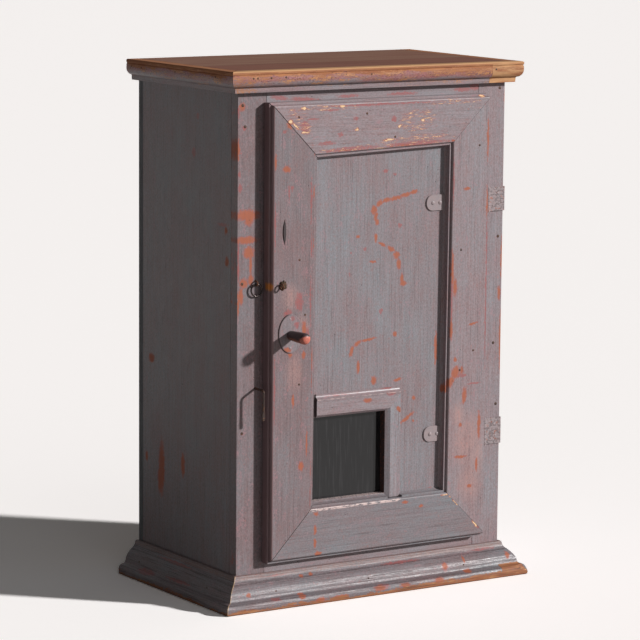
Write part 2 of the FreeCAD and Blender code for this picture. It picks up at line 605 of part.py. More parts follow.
def door_plate():
    """The oval iron plate behind the knob, and its two nails."""
    centre = Vector(KNOB_X, FRONT + FRAME_FACE, PLATE_CENTRE_Z)
    ellipse = Part.Ellipse(centre, PLATE_HALF_HEIGHT, PLATE_HALF_WIDTH)
    ellipse.Axis = Vector(0, -1, 0)
    ellipse.XAxis = Vector(0, 0, 1)
    plate = Part.Face(Part.Wire(ellipse.toShape())).extrude(Vector(0, -PLATE_THICK, 0))
    front = [edge for edge in plate.Edges if edge.BoundBox.YMax < centre.y - PLATE_THICK + 0.2]
    plate = plate.makeChamfer(0.8, front)
    hole = cylinder(SPINDLE_RADIUS + 0.8, Vector(KNOB_X, FRONT - 40, KNOB_Z), Vector(KNOB_X, FRONT, KNOB_Z))
    heads = [Vector(KNOB_X - 0.5, centre.y - PLATE_THICK, z) for z in PLATE_NAIL_Z]
    nails = Part.makeCompound([nail(head, Vector(0, 1, 0), 14.0, 1.2, 2.2) for head in heads])
    return {"knob_plate": plate.cut(hole), "plate_nails": nails}


def bent_nail():
    """A long nail bent at a right angle, which turns in the stile to hold the door shut.
    It is drawn turned down, clear of the door."""
    bend = 5.0
    y = FRONT + NAIL_DEPTH
    inner_end = Vector(NAIL_X, FRONT + FRAME_THICK + 4, NAIL_Z)
    bend_start = Vector(NAIL_X, y + bend, NAIL_Z)
    bend_end = Vector(NAIL_X, y, NAIL_Z - bend)
    diagonal = bend * (1 - math.sqrt(0.5))
    middle = Vector(NAIL_X, y + diagonal, NAIL_Z - diagonal)
    arm_end = Vector(NAIL_X, y, NAIL_Z - NAIL_ARM + 18)
    path = [Part.makeLine(inner_end, bend_start), Part.Arc(bend_start, middle, bend_end).toShape(),
            Part.makeLine(bend_end, arm_end)]
    shank = bar(path, NAIL_RADIUS)
    tip = [(-2.2, 0.0), (-3.4, -7.0), (-2.7, -16.0), (0.0, -18.0), (2.7, -16.0), (3.4, -7.0), (2.2, 0.0)]
    tip = prism(tip, lambda x, z: Vector(NAIL_X + x, y - 1.5, arm_end.z + z + 1.0), Vector(0, 3.0, 0))
    tip = tip.makeChamfer(0.7, [edge for edge in tip.Edges if edge.BoundBox.YLength < 0.01])
    return {"bent_nail": shank.fuse(tip).removeSplitter()}


def ring_and_staple():
    """A ring hanging in a staple on the left stile, and an eye on the door beside it."""
    torus = Part.makeTorus(RING_RADIUS, RING_WIRE, Vector(RING_X, FRONT + RING_DEPTH, RING_PIVOT_Z - RING_RADIUS),
                           Vector(0, 1, 0))
    middle_z = RING_PIVOT_Z + 1.0
    y = FRONT + RING_DEPTH
    low, high = middle_z - STAPLE_HALF, middle_z + STAPLE_HALF
    leg_end = FRONT + FRAME_THICK - 4
    path = [Part.makeLine(Vector(RING_X, leg_end, low), Vector(RING_X, y, low)),
            Part.Arc(Vector(RING_X, y, low), Vector(RING_X, y - STAPLE_HALF, middle_z), Vector(RING_X, y, high)).toShape(),
            Part.makeLine(Vector(RING_X, y, high), Vector(RING_X, leg_end, high))]
    eye_centre = Vector(EYE_X, FRONT + FRAME_FACE - 1.5 - EYE_RADIUS, EYE_Z)
    eye = Part.makeTorus(EYE_RADIUS, EYE_WIRE, eye_centre, Vector(1, 0, 0))
    shank = cylinder(EYE_WIRE, Vector(EYE_X, eye_centre.y + EYE_RADIUS, EYE_Z), Vector(EYE_X, FRONT + 6, EYE_Z))
    return {"pull_ring": torus, "ring_staple": bar(path, STAPLE_WIRE), "door_eye": eye.fuse(shank)}


def cut_nails():
    """Nails of the mouldings and the face frame, and those of the door's applied frame."""
    inward = Vector(0, 1, 0)
    carcase, door = [], []
    for x in CORNICE_NAIL_X:
        head = Vector(x, FRONT - CORNICE_NAIL_REACH, CORNICE_NAIL_Z)
        carcase.append(nail(head, inward, 40.0, MOULD_NAIL_RADIUS, 2.2))
    for x in BASE_NAIL_X:
        head = Vector(x, FRONT - BASE_NAIL_REACH, BASE_NAIL_Z)
        carcase.append(nail(head, inward, 40.0, MOULD_NAIL_RADIUS, 2.4))
    for depth in CORNICE_SIDE_NAIL_DEPTHS:
        gap = CORNICE_SPRUNG * depth / (BACK - FRONT)
        head = Vector(-HALF - CORNICE_NAIL_REACH - gap, FRONT + depth, CORNICE_NAIL_Z)
        carcase.append(nail(head, Vector(1, 0, 0), 40.0, MOULD_NAIL_RADIUS, 2.2))
    for depth in BASE_SIDE_NAIL_DEPTHS:
        gap = BASE_SPRUNG * depth / (BACK - FRONT)
        head = Vector(-HALF - BASE_NAIL_REACH - gap, FRONT + depth, BASE_NAIL_Z)
        carcase.append(nail(head, Vector(1, 0, 0), 42.0, MOULD_NAIL_RADIUS, 2.4))
    for x, z in STILE_NAILS:
        carcase.append(nail(Vector(x, FRONT, z), inward, 38.0, MOULD_NAIL_RADIUS, 3.0))
    for x, z in FRAME_NAILS:
        door.append(nail(Vector(x, FRONT + FRAME_FACE, z), inward, 34.0, 1.4, 2.2))
    return {"carcase_nails": Part.makeCompound(carcase), "door_nails": Part.makeCompound(door)}


def drill(pieces):
    """Cuts the holes for nails, spindle, bent nail, staple and eye."""
    reach = 60.0
    spindle = cylinder(SPINDLE_RADIUS + RUNNING_CLEARANCE, Vector(KNOB_X, FRONT - reach, KNOB_Z),
                       Vector(KNOB_X, FRONT + BOARD_BACK + 0.2, KNOB_Z))
    pivot = cylinder(NAIL_RADIUS + RUNNING_CLEARANCE, Vector(NAIL_X, FRONT - 5, NAIL_Z),
                     Vector(NAIL_X, FRONT + FRAME_THICK + 1, NAIL_Z))
    holes = {
        "door_stile_left": [spindle, pieces["plate_nails"], pieces["door_eye"], pieces["door_nails"]],
        "door_board_left": [spindle, pieces["door_eye"], pieces["door_nails"]],
        "door_board_middle": [pieces["door_nails"]],
        "door_board_right": [pieces["strap_nails"], pieces["door_nails"]],
        "door_batten_lower": [pieces["door_nails"]],
        "door_batten_upper": [pieces["door_nails"]],
        "door_rail_top": [pieces["door_nails"]],
        "door_rail_bottom": [pieces["door_nails"]],
        "door_stile_right": [pieces["door_nails"]],
        "knob_plate": [pieces["plate_nails"]],
        "hinge_strap_upper": [pieces["strap_nails"]],
        "hinge_strap_lower": [pieces["strap_nails"]],
        "hinge_leaf_upper": [pieces["leaf_nails"]],
        "hinge_leaf_lower": [pieces["leaf_nails"]],
        "face_stile_left": [pivot, pieces["ring_staple"], pieces["carcase_nails"]],
        "face_stile_right": [pieces["leaf_nails"], pieces["carcase_nails"]],
        "side_left": [pieces["carcase_nails"]],
        "side_right": [pieces["leaf_nails"], pieces["carcase_nails"]],
        "top_board": [pieces["carcase_nails"]],
        "bottom_board": [pieces["carcase_nails"]],
        "face_rail_top": [pieces["carcase_nails"]],
        "face_rail_bottom": [pieces["carcase_nails"]],
        "cornice_front": [pieces["carcase_nails"]],
        "cornice_left": [pieces["carcase_nails"]],
        "base_moulding_front": [pieces["carcase_nails"]],
        "base_moulding_left": [pieces["carcase_nails"]],
    }
    for name, tools in holes.items():
        for tool in tools:
            pieces[name] = pieces[name].cut(tool)


def main():
    os.makedirs("parts", exist_ok=True)
    pieces = {}
    for make in (side_boards, inner_boards, back_boards, face_frame, cornice, base_moulding, door_boards,
                 door_battens, applied_frame, window_trim, glazing, hinge_nails, knob_and_latch, door_plate,
                 bent_nail, ring_and_staple, cut_nails):
        pieces.update(make())
    for name, (low, high, strap_z) in HINGES.items():
        pieces.update(hinge(name, low, high, strap_z))
    drill(pieces)
    for name, shape in pieces.items():
        solids = shape.Solids
        good = all(solid.isValid() and solid.Volume > 0 for solid in solids)
        print(name, len(solids), "solids", "valid" if good else "INVALID", round(shape.Volume / 1000, 2), "cm3")
        shape.exportStep("parts/" + name + ".step")


main()
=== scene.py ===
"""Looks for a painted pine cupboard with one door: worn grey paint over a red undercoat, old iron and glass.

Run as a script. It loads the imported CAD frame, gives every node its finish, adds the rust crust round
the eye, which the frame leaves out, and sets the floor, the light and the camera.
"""

import math

import bmesh
import bpy
from bpy.props import FloatProperty, FloatVectorProperty, PointerProperty
from mathutils import Matrix, Vector, noise


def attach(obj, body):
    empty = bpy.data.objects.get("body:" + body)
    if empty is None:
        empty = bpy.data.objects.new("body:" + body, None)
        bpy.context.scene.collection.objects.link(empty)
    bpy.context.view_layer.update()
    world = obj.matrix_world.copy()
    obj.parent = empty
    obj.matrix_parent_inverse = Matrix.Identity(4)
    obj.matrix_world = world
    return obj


bl_info = {
    "name": "Painted pine cupboard",
    "version": (1, 0, 0),
    "blender": (4, 5, 0),
    "location": "3D View > Sidebar > Cupboard",
    "description": "Finishes and small pieces for a worn painted cupboard",
    "category": "Object",
}

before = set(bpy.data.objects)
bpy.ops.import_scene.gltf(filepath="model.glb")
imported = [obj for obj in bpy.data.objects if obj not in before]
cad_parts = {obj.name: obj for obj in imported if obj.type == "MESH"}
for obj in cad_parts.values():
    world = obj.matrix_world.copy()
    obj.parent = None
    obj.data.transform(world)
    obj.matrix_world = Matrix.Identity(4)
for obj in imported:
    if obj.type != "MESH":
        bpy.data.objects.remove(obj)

# Places and sizes are in millimetres along the frame's own axes. HALF is half the carcase's
# width, and FRONT is the front of its face frame. TOP_JOINT is where the top's two boards
# meet, and STILE_COAT is how deep the paint goes on the face frame's edges.
MM = 0.001
HALF = 292.5
FRONT = -137.5
HEIGHT = 980.0
TOP_JOINT = FRONT + 122.0
STILE_COAT = 3.0

# Mouldings: the cornice's shadow line, which gets painted shade, the base's hollows as height and width,
# which get painted shade and dirt, the starts of the pieced right ends, and the middle of the worn stretch
# at the base's left.
CORNICE_LINE = 950.0
BASE_HOLLOWS = ((47.2, 1.6), (59.6, 1.2), (17.4, 1.4))
CORNICE_END, BASE_END = 246.0, 275.0
BASE_END_HEIGHT = 24.0
BASE_WORN = -302.0

# Door: its boards, how deep paint goes on their edges, its outer edges, the frame's face and
# inner corners (x and z), the split as a mark, the knob, its plate, the eye and the drip.
BOARDS = {"left": (-240, -31), "middle": (-31, 111), "right": (111, 240)}
BOARD_COAT = 11.0
LIP_EDGE, STILE_EDGE, RIGHT_EDGE = -230.0, -229.4, 240.0
FRAME_FACE = FRONT - 25.0
LOW_LEFT, HIGH_LEFT, HIGH_RIGHT = (-150.0, 172.0), (-145.5, 829.0), (162.5, 838.0)
SPLIT = (-207.4, 689, 3.4, 26)
KNOB_X, KNOB_Z, KNOB_TIP = -195.0, 501.0, FRONT - 75.0
PLATE_Z = 503.5
EYE_X, EYE_Z = -217.0, 591.0
DRIP_X = -235.5

# Window: its middle and reach, the right reveal, the ledge, where the sill's wear ends, and the trim
# rail's left end, arris and gap. The sill, the ledge and the arris get pale wear with a painted highlight,
# and the rail's left end and the gap get painted shade.
WINDOW_X, WINDOW_Z, WINDOW_REACH = -55.0, 262.0, 82.0
REVEAL_X, LEDGE_Z, SILL_END = 24.7, 184.5, 58.0
TRIM_END, TRIM_ARRIS = -128.0, 373.5
GAP_X, GAP_Z = -136.0, 362.0


def linear(red, green, blue):
    """A colour written as on screen, from 0 to 255, as the shader wants it."""
    def channel(value):
        value /= 255
        return value / 12.92 if value <= 0.04045 else ((value + 0.055) / 1.055) ** 2.4
    return channel(red), channel(green), channel(blue)


def colour(name, description, red, green, blue):
    """A colour property with its default."""
    return FloatVectorProperty(name=name, description=description, subtype="COLOR", size=3,
                               min=0, max=1, default=linear(red, green, blue))


def angle(name, description, degrees):
    """An angle property with its default."""
    return FloatProperty(name=name, description=description, subtype="ANGLE", default=math.radians(degrees))


def amount(name, description, value):
    """A number property, 0 or more, with its default."""
    return FloatProperty(name=name, description=description, default=value, min=0)


def towards(turn, climb):
    """The direction from the object at an angle from its front and an angle above the floor."""
    return Vector((math.sin(turn) * math.cos(climb), -math.cos(turn) * math.cos(climb), math.sin(climb)))


class PaintSettings(bpy.types.PropertyGroup):
    """The old paint and what shows through it."""
    cool: colour("Cool grey", "Top coat where it is thickest", 133, 137, 142)
    warm: colour("Warm grey", "Top coat where it is thin", 153, 127, 128)
    blush: colour("Blush", "Streaks where the red coat shines through", 164, 116, 120)
    undercoat: colour("Undercoat", "Red coat that shows along arrises", 158, 82, 80)
    haze: colour("Haze", "Pink where the top coat is rubbed thin", 182, 138, 130)
    bare: colour("Bare wood", "Stained wood where the paint is gone", 166, 92, 62)
    scuffed: colour("Scuffed paint", "Brown rubbed paint along the base", 136, 96, 84)
    splinter: colour("Fresh wood", "Pale wood in the deepest chips", 238, 200, 156)
    amber: colour("Amber", "Drip of varnish on the door's edge beside the ring", 214, 134, 56)
    # This pale colour is worn paint and also a painted highlight along the sill, the ledge and the trim
    # rail's arris.
    sill: colour("Worn sill", "Pale rubbed paint along the window's sill", 220, 194, 188)
    # Dark brown laid in the window's right reveal, flecked with bare wood.
    reveal_dark_brown: colour("Soot", "Rusty dirt in the window's reveal", 54, 37, 34)
    dark: colour("Handled paint", "Red-brown along the door's left edge", 132, 107, 109)
    # This dark is real dirt in grain lines, pits, joints and cracks, and also painted shade in creases, gaps
    # and shaded edges.
    grime_and_shade: colour("Grime", "Dirt in grain lines and corners", 58, 46, 46)
    gloss: FloatProperty(name="Roughness", description="Roughness of the paint", default=0.46, min=0, max=1)


class TimberSettings(bpy.types.PropertyGroup):
    """Unpainted pine."""
    pale: colour("Early wood", "Pale part of each year's growth", 186, 146, 104)
    late: colour("Late wood", "Dark lines of the grain", 132, 88, 56)
    aged: colour("Aged face", "Browned face of the back boards", 112, 88, 68)
    # The palest wood is also laid as a painted highlight along the cornice front's top edge.
    golden: colour("Golden wood", "Rubbed wood along the mouldings", 196, 136, 90)
    bright: colour("Bright wood", "Palest rubbed wood along the mouldings", 236, 192, 140)
    umber: colour("Umber wood", "Brown rubbed wood along the mouldings", 150, 92, 62)
    top_front: colour("Top, front board", "Stained front part of the top", 138, 95, 81)
    top_back: colour("Top, back board", "Paler back part of the top", 150, 116, 98)
    knob: colour("Knob", "Dark worn wood of the knob", 66, 50, 52)
    knob_low: colour("Knob below", "Rubbed underside of the knob", 128, 74, 50)
    knob_tip: colour("Knob tip", "Red end of the knob", 200, 112, 94)


class MetalSettings(bpy.types.PropertyGroup):
    """Old iron and glass."""
    iron: colour("Iron", "Dark skin of the iron", 58, 50, 48)
    rust: colour("Rust", "Brown rust", 104, 66, 44)
    bloom: colour("Fresh rust", "Orange rust in the roughest places", 158, 96, 58)
    crust: colour("Crust", "Dark lump of rust round the eye", 66, 52, 38)
    coat: colour("Painted iron", "Paint on the ironwork", 166, 142, 141)
    # The pane's dark colour is partly the glass's own tint and partly painted shade of the dark inside
    # behind it.
    glass: colour("Glass", "Dark pane", 34, 33, 34)


class StageSettings(bpy.types.PropertyGroup):
    """Floor and light."""
    floor: colour("Floor", "Plain pale floor", 252, 248, 246)
    bounce: colour("Floor's light", "Colour of the light that the floor sends back", 149, 147, 145)
    sheen: amount("Room", "How bright the room is in gloss", 0.22)
    key: amount("Key light", "Strength of the key light", 4.0)
    softness: angle("Softness", "Angle that the key light covers", 3.3)
    turn: angle("Key turn", "Angle of the key from the front towards the right", 44.8)
    climb: angle("Key height", "Angle of the key above the floor", 22.5)
    fill: amount("Fill light", "Strength of the light from all round", 0.065)
    front: amount("Front light", "Strength of the wide soft light in front", 0.22)
    front_width: angle("Front width", "Angle that the light in front covers", 60.0)
    front_climb: angle("Front height", "Angle of the light in front above the floor", 25.0)
    lift: amount("Floor lift", "How much paler the floor is for the camera", 0.62)
    backdrop: amount("Backdrop", "How bright the room is beyond the floor", 0.84)


class CameraSettings(bpy.types.PropertyGroup):
    """The photograph's view."""
    place: FloatVectorProperty(name="Place", description="Where the camera stands", subtype="TRANSLATION",
                               unit="LENGTH", size=3, default=(-3.2175, -4.9724, 1.3906))
    turn: angle("Turn", "Turn round the object", -32.687)
    climb: angle("Climb", "Height above the horizon", 8.622)
    roll: angle("Roll", "Roll about the line of sight", 0.4785)
    lens: FloatProperty(name="Lens", description="Focal length on a 36 mm sensor, in millimetres",
                        default=178.98, min=1)


class Value:
    """A number or vector on a socket, so that shader maths is written as an expression."""

    def __init__(self, nodes, socket):
        self.nodes = nodes
        self.socket = socket

    def maths(self, operation, *values, clamp=False):
        return self.nodes.node("Math", {"operation": operation, "use_clamp": clamp}, dict(enumerate(values)))

    def __add__(self, other):
        return self.maths("ADD", self, other)

    def __radd__(self, other):
        return self.maths("ADD", other, self)

    def __sub__(self, other):
        return self.maths("SUBTRACT", self, other)

    def __rsub__(self, other):
        return self.maths("SUBTRACT", other, self)

    def __mul__(self, other):
        return self.maths("MULTIPLY", self, other)

    def __rmul__(self, other):
        return self.maths("MULTIPLY", other, self)

    def __truediv__(self, other):
        return self.maths("DIVIDE", self, other)

    def __abs__(self):
        return self.maths("ABSOLUTE", self)

    def __lt__(self, other):
        return self.maths("LESS_THAN", self, other)

    def __gt__(self, other):
        return self.maths("GREATER_THAN", self, other)

    def least(self, other):
        return self.maths("MINIMUM", self, other)

    def most(self, other):
        return self.maths("MAXIMUM", self, other)

    def held(self):
        """The value held between 0 and 1."""
        return self.maths("ADD", self, 0.0, clamp=True)

    def rise(self, low, high):
        """0 below low, 1 above high and smooth between them. With high below low it falls."""
        return self.nodes.node("MapRange", {"interpolation_type": "SMOOTHSTEP"}, {
            "Value": self, "From Min": low, "From Max": high, "To Min": 0.0, "To Max": 1.0}, "Result")


class Nodes:
    """A node tree under construction."""

    def __init__(self, tree):
        self.tree = tree

    def node(self, kind, settings, sockets, output=0):
        """One node: its kind, its settings, then the values or links of its sockets."""
        made = self.tree.nodes.new("ShaderNode" + kind)
        for name, value in settings.items():
            setattr(made, name, value)
        for name, value in sockets.items():
            socket = self.pick(made.inputs, name)
            if isinstance(value, Value):
                self.tree.links.new(value.socket, socket)
            else:
                socket.default_value = value
        return Value(self, self.pick(made.outputs, output))

    @staticmethod
    def pick(sockets, name):
        if isinstance(name, int):
            return sockets[name]
        return next(socket for socket in sockets if name in (socket.identifier, socket.name))


class Finish(Nodes):
    """A material under construction, with its place in millimetres at hand."""

    def __init__(self, name, grain="Z", shift=0.0, specular=0.4):
        self.material = bpy.data.materials.new(name)
        self.material.use_nodes = True
        super().__init__(self.material.node_tree)
        self.shader = self.tree.nodes["Principled BSDF"]
        self.shader.inputs["Specular IOR Level"].default_value = specular
        metres = self.node("TexCoord", {}, {}, "Object")
        self.place = self.node("VectorMath", {"operation": "SCALE"}, {
            "Vector": metres, "Scale": 1 / MM}, "Vector")
        self.x, self.y, self.z = (self.node("SeparateXYZ", {}, {"Vector": self.place}, axis)
                                  for axis in "XYZ")
        self.grain = grain
        self.shift = shift
        self.count = 0

    def mix(self, below, above, share):
        """One colour over another by a share from 0 to 1."""
        ends = {}
        for name, end in (("A_Color", below), ("B_Color", above)):
            ends[name] = end if isinstance(end, Value) else (*end, 1.0)
        return self.node("Mix", {"data_type": "RGBA"}, {**ends, "Factor_Float": share}, "Result_Color")

    def tint(self, base, amount):
        """A colour made darker or lighter by a factor."""
        grey = self.node("CombineXYZ", {}, {"X": amount, "Y": amount, "Z": amount})
        return self.node("VectorMath", {"operation": "MULTIPLY"}, {0: base, 1: grey}, "Vector")

    def stretched(self, across, along):
        """The place divided by one size across the grain and one along it, moved on for each use."""
        self.count += 1
        scale = [1 / (along if axis == self.grain else across) for axis in "XYZ"]
        move = [self.shift * 7.3 + self.count * step for step in (3.1, 5.7, 4.3)]
        return self.node("Mapping", {"vector_type": "POINT"}, {
            "Vector": self.place, "Scale": scale, "Location": move}, "Vector")

    def noise(self, across, along=None, detail=2.0, roughness=0.5):
        """Noise from 0 to 1, centred on 0.5, whose features have these sizes in millimetres."""
        where = self.stretched(across, along or across)
        return self.node("TexNoise", {}, {
            "Vector": where, "Scale": 1.0, "Detail": detail, "Roughness": roughness}, "Fac")

    def cells(self, across, along):
        """How far a place is from the nearest of scattered points, in cells of these sizes."""
        where = self.stretched(across, along)
        return self.node("TexVoronoi", {"feature": "F1"}, {"Vector": where, "Scale": 1.0}, "Distance")

    def band(self, value, centre, width):
        """1 at the centre, falling to 0 at the width from it."""
        return (1.0 - abs(value - centre) / width).most(0.0)

    def flat(self, across, up, ragged):
        """The place on one face as a flat vector, shaken so that marks get ragged edges."""
        shake = self.noise(5.0, 9.0, detail=3.0, roughness=0.65) - 0.5
        sway = self.noise(5.0, 9.0, detail=3.0, roughness=0.65) - 0.5
        return self.node("CombineXYZ", {}, {"X": across + shake * ragged, "Y": up + sway * ragged, "Z": 0.0})

    def oval(self, flat, across, up, long, wide, turn=0.0):
        """How far a place is from the middle of an oval, which has 1 all along its edge."""
        local = self.node("Mapping", {"vector_type": "TEXTURE"}, {
            "Vector": flat, "Location": (across, up, 0.0), "Rotation": (0.0, 0.0, math.radians(turn)),
            "Scale": (long, wide, 1.0)}, "Vector")
        return self.node("VectorMath", {"operation": "LENGTH"}, {"Vector": local}, "Value")

    def marks(self, flat, marks, grow=1.0):
        """How far inside the nearest of some oval marks a place is: 1 in the middle and 0 on the edge.
        All of them can grow by a factor."""
        inside = None
        for across, up, long, wide, *turn in marks:
            one = 1.0 - self.oval(flat, across, up, long * grow, wide * grow, *turn)
            inside = one if inside is None else inside.most(one)
        return inside.most(0.0)

    def done(self, base, roughness, height, metallic=None, depth=1.0):
        """Links the shader. The height is in millimetres."""
        for name, value in (("Base Color", base), ("Roughness", roughness), ("Metallic", metallic)):
            if isinstance(value, Value):
                self.tree.links.new(value.socket, self.shader.inputs[name])
            elif value is not None:
                self.shader.inputs[name].default_value = (*value, 1.0) if name == "Base Color" else value
        bump = self.node("Bump", {}, {"Height": height, "Strength": 1.0, "Distance": MM * depth}, "Normal")
        self.tree.links.new(bump.socket, self.shader.inputs["Normal"])
        return self.material


def painted(name, grain="Z", shift=0.0, face="xz", wood=(), red=(), cream=(), flecks=(), haze=(), worn=None,
            bare=None, over=None, warm=0.0, wear=0.0, gloss=0.0, lift=1.0, relief=1.0, specular=0.4):
    """Old grey paint, brushed along the grain, thin over a red undercoat and chipped to the wood.
    wood, red, cream and haze are marks on one face: bare wood, undercoat, fresh wood and thin pink paint.
    flecks are marks too, and each is an area where the paint has come off in small flakes.
    worn and bare are functions of the finish: how near a worn arris a place is, and its unpainted share.
    over is a function of the finish and its colour that lays more colour on top, and says how dull it is.
    warm turns the grey coat towards its red one, lift makes it paler and wear takes more of it off. A low
    lift on the left side and on the left and bottom door and face pieces paints in the shade where the light
    falls off across the cupboard. gloss is added to its roughness, relief deepens its strokes and chips, and
    specular is the shader's own."""
    look = bpy.context.scene.cupboard_paint
    f = Finish(name, grain, shift, specular)
    cloud = f.noise(55.0, 130.0, detail=3.0)
    streak = f.noise(5.5, 150.0, detail=3.0, roughness=0.6)
    brush = f.noise(2.0, 80.0, detail=2.0, roughness=0.6)
    speck = f.noise(2.6, 3.8, detail=3.0, roughness=0.75)
    mottle = f.noise(11.0, 24.0, detail=4.0, roughness=0.65)
    patch = f.noise(24.0, 60.0, detail=2.0)
    chips = f.noise(3.6, 6.0, detail=4.0, roughness=0.75)
    ragged = chips - 0.5

    tone = (cloud - 0.5) * 1.3 + (streak - 0.5) * 0.6 + (mottle - 0.5) * 1.1 + (speck - 0.5) * 1.0
    base = f.mix(look.warm, look.cool, (tone + 0.5 - warm).held())
    shade = (brush - 0.5) * 0.55 + (streak - 0.5) * 0.25 + (speck - 0.5) * 1.2 + (cloud - 0.5) * 0.3
    base = f.tint(base, shade * lift + lift)
    base = f.mix(base, look.blush, (mottle * 0.6 + speck * 0.4).rise(0.52, 0.66) * (0.5 + warm))
    lines = brush.rise(0.39, 0.25)
    base = f.mix(base, look.grime_and_shade, lines * 0.32)

    across, up = {"xz": (f.x, f.z), "yz": (f.y, f.z), "xy": (f.x, f.y)}[face]
    flat = f.flat(across, up, 7.0)
    if haze:
        thin = (streak * 0.8 + mottle * 0.9 + speck * 1.2 - 1.05).held()
        base = f.mix(base, look.haze, f.marks(flat, haze).rise(0.0, 0.8) * thin)
    rub = (patch - 0.5) * 2.1 + ragged * 1.4 + wear - 0.82
    if worn:
        rub = rub + worn(f) * 0.9
    red_share = rub.rise(0.0, 0.2) * 0.85
    gone = rub.rise(0.14, 0.3)
    fresh = rub.rise(0.6, 0.85)
    pits = f.cells(17.0, 25.0).rise(0.065, 0.03) * (speck > 0.48)
    height = brush * 0.16 + streak * 0.12 + speck * 0.06 - gone * 0.16 - pits * 0.5
    if red:
        broken = speck.rise(0.36, 0.58) * 0.55 + 0.3
        red_share = red_share.most((f.marks(flat, red) + ragged * 1.2).rise(0.1, 0.5) * broken)
    if wood:
        spots = f.marks(flat, wood, 1.32)
        red_share = red_share.most((spots * 1.3 + ragged * 1.2).rise(0.0, 0.5) * 0.5)
        gone = gone.most((spots * 1.3 + ragged * 1.7 + (speck - 0.5) * 0.8).rise(0.15, 0.75) * 0.88)
    if cream:
        spots = f.marks(flat, cream)
        red_share = red_share.most((spots * 1.3 + ragged * 1.2).rise(0.1, 0.4) * 0.75)
        gone = gone.most((spots * 1.3 + ragged * 1.6).rise(0.3, 0.6))
        fresh = fresh.most((spots * 1.3 + ragged * 1.8).rise(0.45, 0.75))
    if flecks:
        fleck = f.noise(1.5, 12.0, detail=3.0, roughness=0.7)
        fleck = fleck + (f.marks(flat, flecks) * 0.5).least(0.115) - 0.7
        red_share = red_share.most(fleck.rise(-0.1, 0.0) * 0.6)
        gone = gone.most(fleck.rise(0.0, 0.04))
        fresh = fresh.most(fleck.rise(0.0, 0.06))
    timber = f.tint(f.mix(look.bare, look.splinter, fresh), 0.72 + brush * 0.34 + speck * 0.22)
    base = f.mix(base, look.undercoat, red_share)
    base = f.mix(base, timber, gone)
    base = f.mix(base, look.grime_and_shade, pits * 0.85)
    rough = look.gloss + gloss + (brush - 0.5) * 0.2 + (mottle - 0.5) * 0.25 + gone * 0.22 + lines * 0.12
    if over:
        base, dull = over(f, base)
        rough = rough + dull * 0.3
    if bare:
        share = bare(f)
        inner, inner_height = pine_grain(f)
        base = f.mix(base, inner, share)
        rough = rough * (1.0 - share) + share * 0.72
        height = height * (1.0 - share) + inner_height * share
    return f.done(base, rough.held(), height, depth=relief)


def pine_grain(f):
    """The colour and height of unpainted pine: wavy year lines, fine fibres and a little dirt."""
    look = bpy.context.scene.cupboard_timber
    sway = f.noise(60.0, 320.0, detail=2.0)
    rings = f.node("Math", {"operation": "FRACT"}, {0: f.noise(42.0, 900.0, detail=1.0) * 9.0 + sway * 2.0})
    lines = rings.rise(0.45, 0.92) * rings.rise(1.0, 0.93)
    fibre = f.noise(0.9, 70.0, detail=2.0)
    dirt = f.noise(36.0, 90.0, detail=4.0, roughness=0.6)
    base = f.mix(look.pale, look.late, lines * 0.75)
    base = f.tint(base, 0.66 + fibre * 0.30 + dirt * 0.36)
    return base, fibre * 0.16 + lines * 0.10


def rubbed_pine(f, brown=0.0):
    """The colour of pine that hands and feet have rubbed: streaks from brown to pale gold."""
    look = bpy.context.scene.cupboard_timber
    vein = f.noise(2.2, 46.0, detail=3.0, roughness=0.6)
    cloud = f.noise(9.0, 40.0, detail=3.0, roughness=0.6)
    dirt = f.noise(3.0, 7.0, detail=3.0, roughness=0.7)
    base = f.mix(look.umber, look.golden, (cloud * 1.3 + vein * 0.9 - 0.6 - brown).held())
    base = f.mix(base, look.bright, (cloud * 0.6 + vein * 0.7 - brown).rise(0.66, 0.86))
    base = f.mix(base, bpy.context.scene.cupboard_paint.grime_and_shade, dirt.rise(0.36, 0.24) * 0.75)
    return f.tint(base, 0.82 + vein * 0.36)


def bare_timber(name, grain="Z", shift=0.0, aged=False, painted_ends=False):
    """Unpainted pine inside the carcase, or the browned back boards whose outer edges are painted."""
    look = bpy.context.scene.cupboard_timber
    f = Finish(name, grain, shift)
    base, height = pine_grain(f)
    if aged:
        stain = f.noise(90.0, 240.0, detail=4.0).rise(0.30, 0.62)
        base = f.mix(base, look.aged, stain * 0.8)
    if painted_ends:
        coat = bpy.context.scene.cupboard_paint
        old = f.tint(f.mix(coat.cool, coat.grime_and_shade, f.noise(3.0, 60.0, detail=3.0)), 0.9)
        base = f.mix(base, old, (abs(f.x) - HALF + 1.0).rise(0.0, 0.5))
    return f.done(base, 0.74, height)


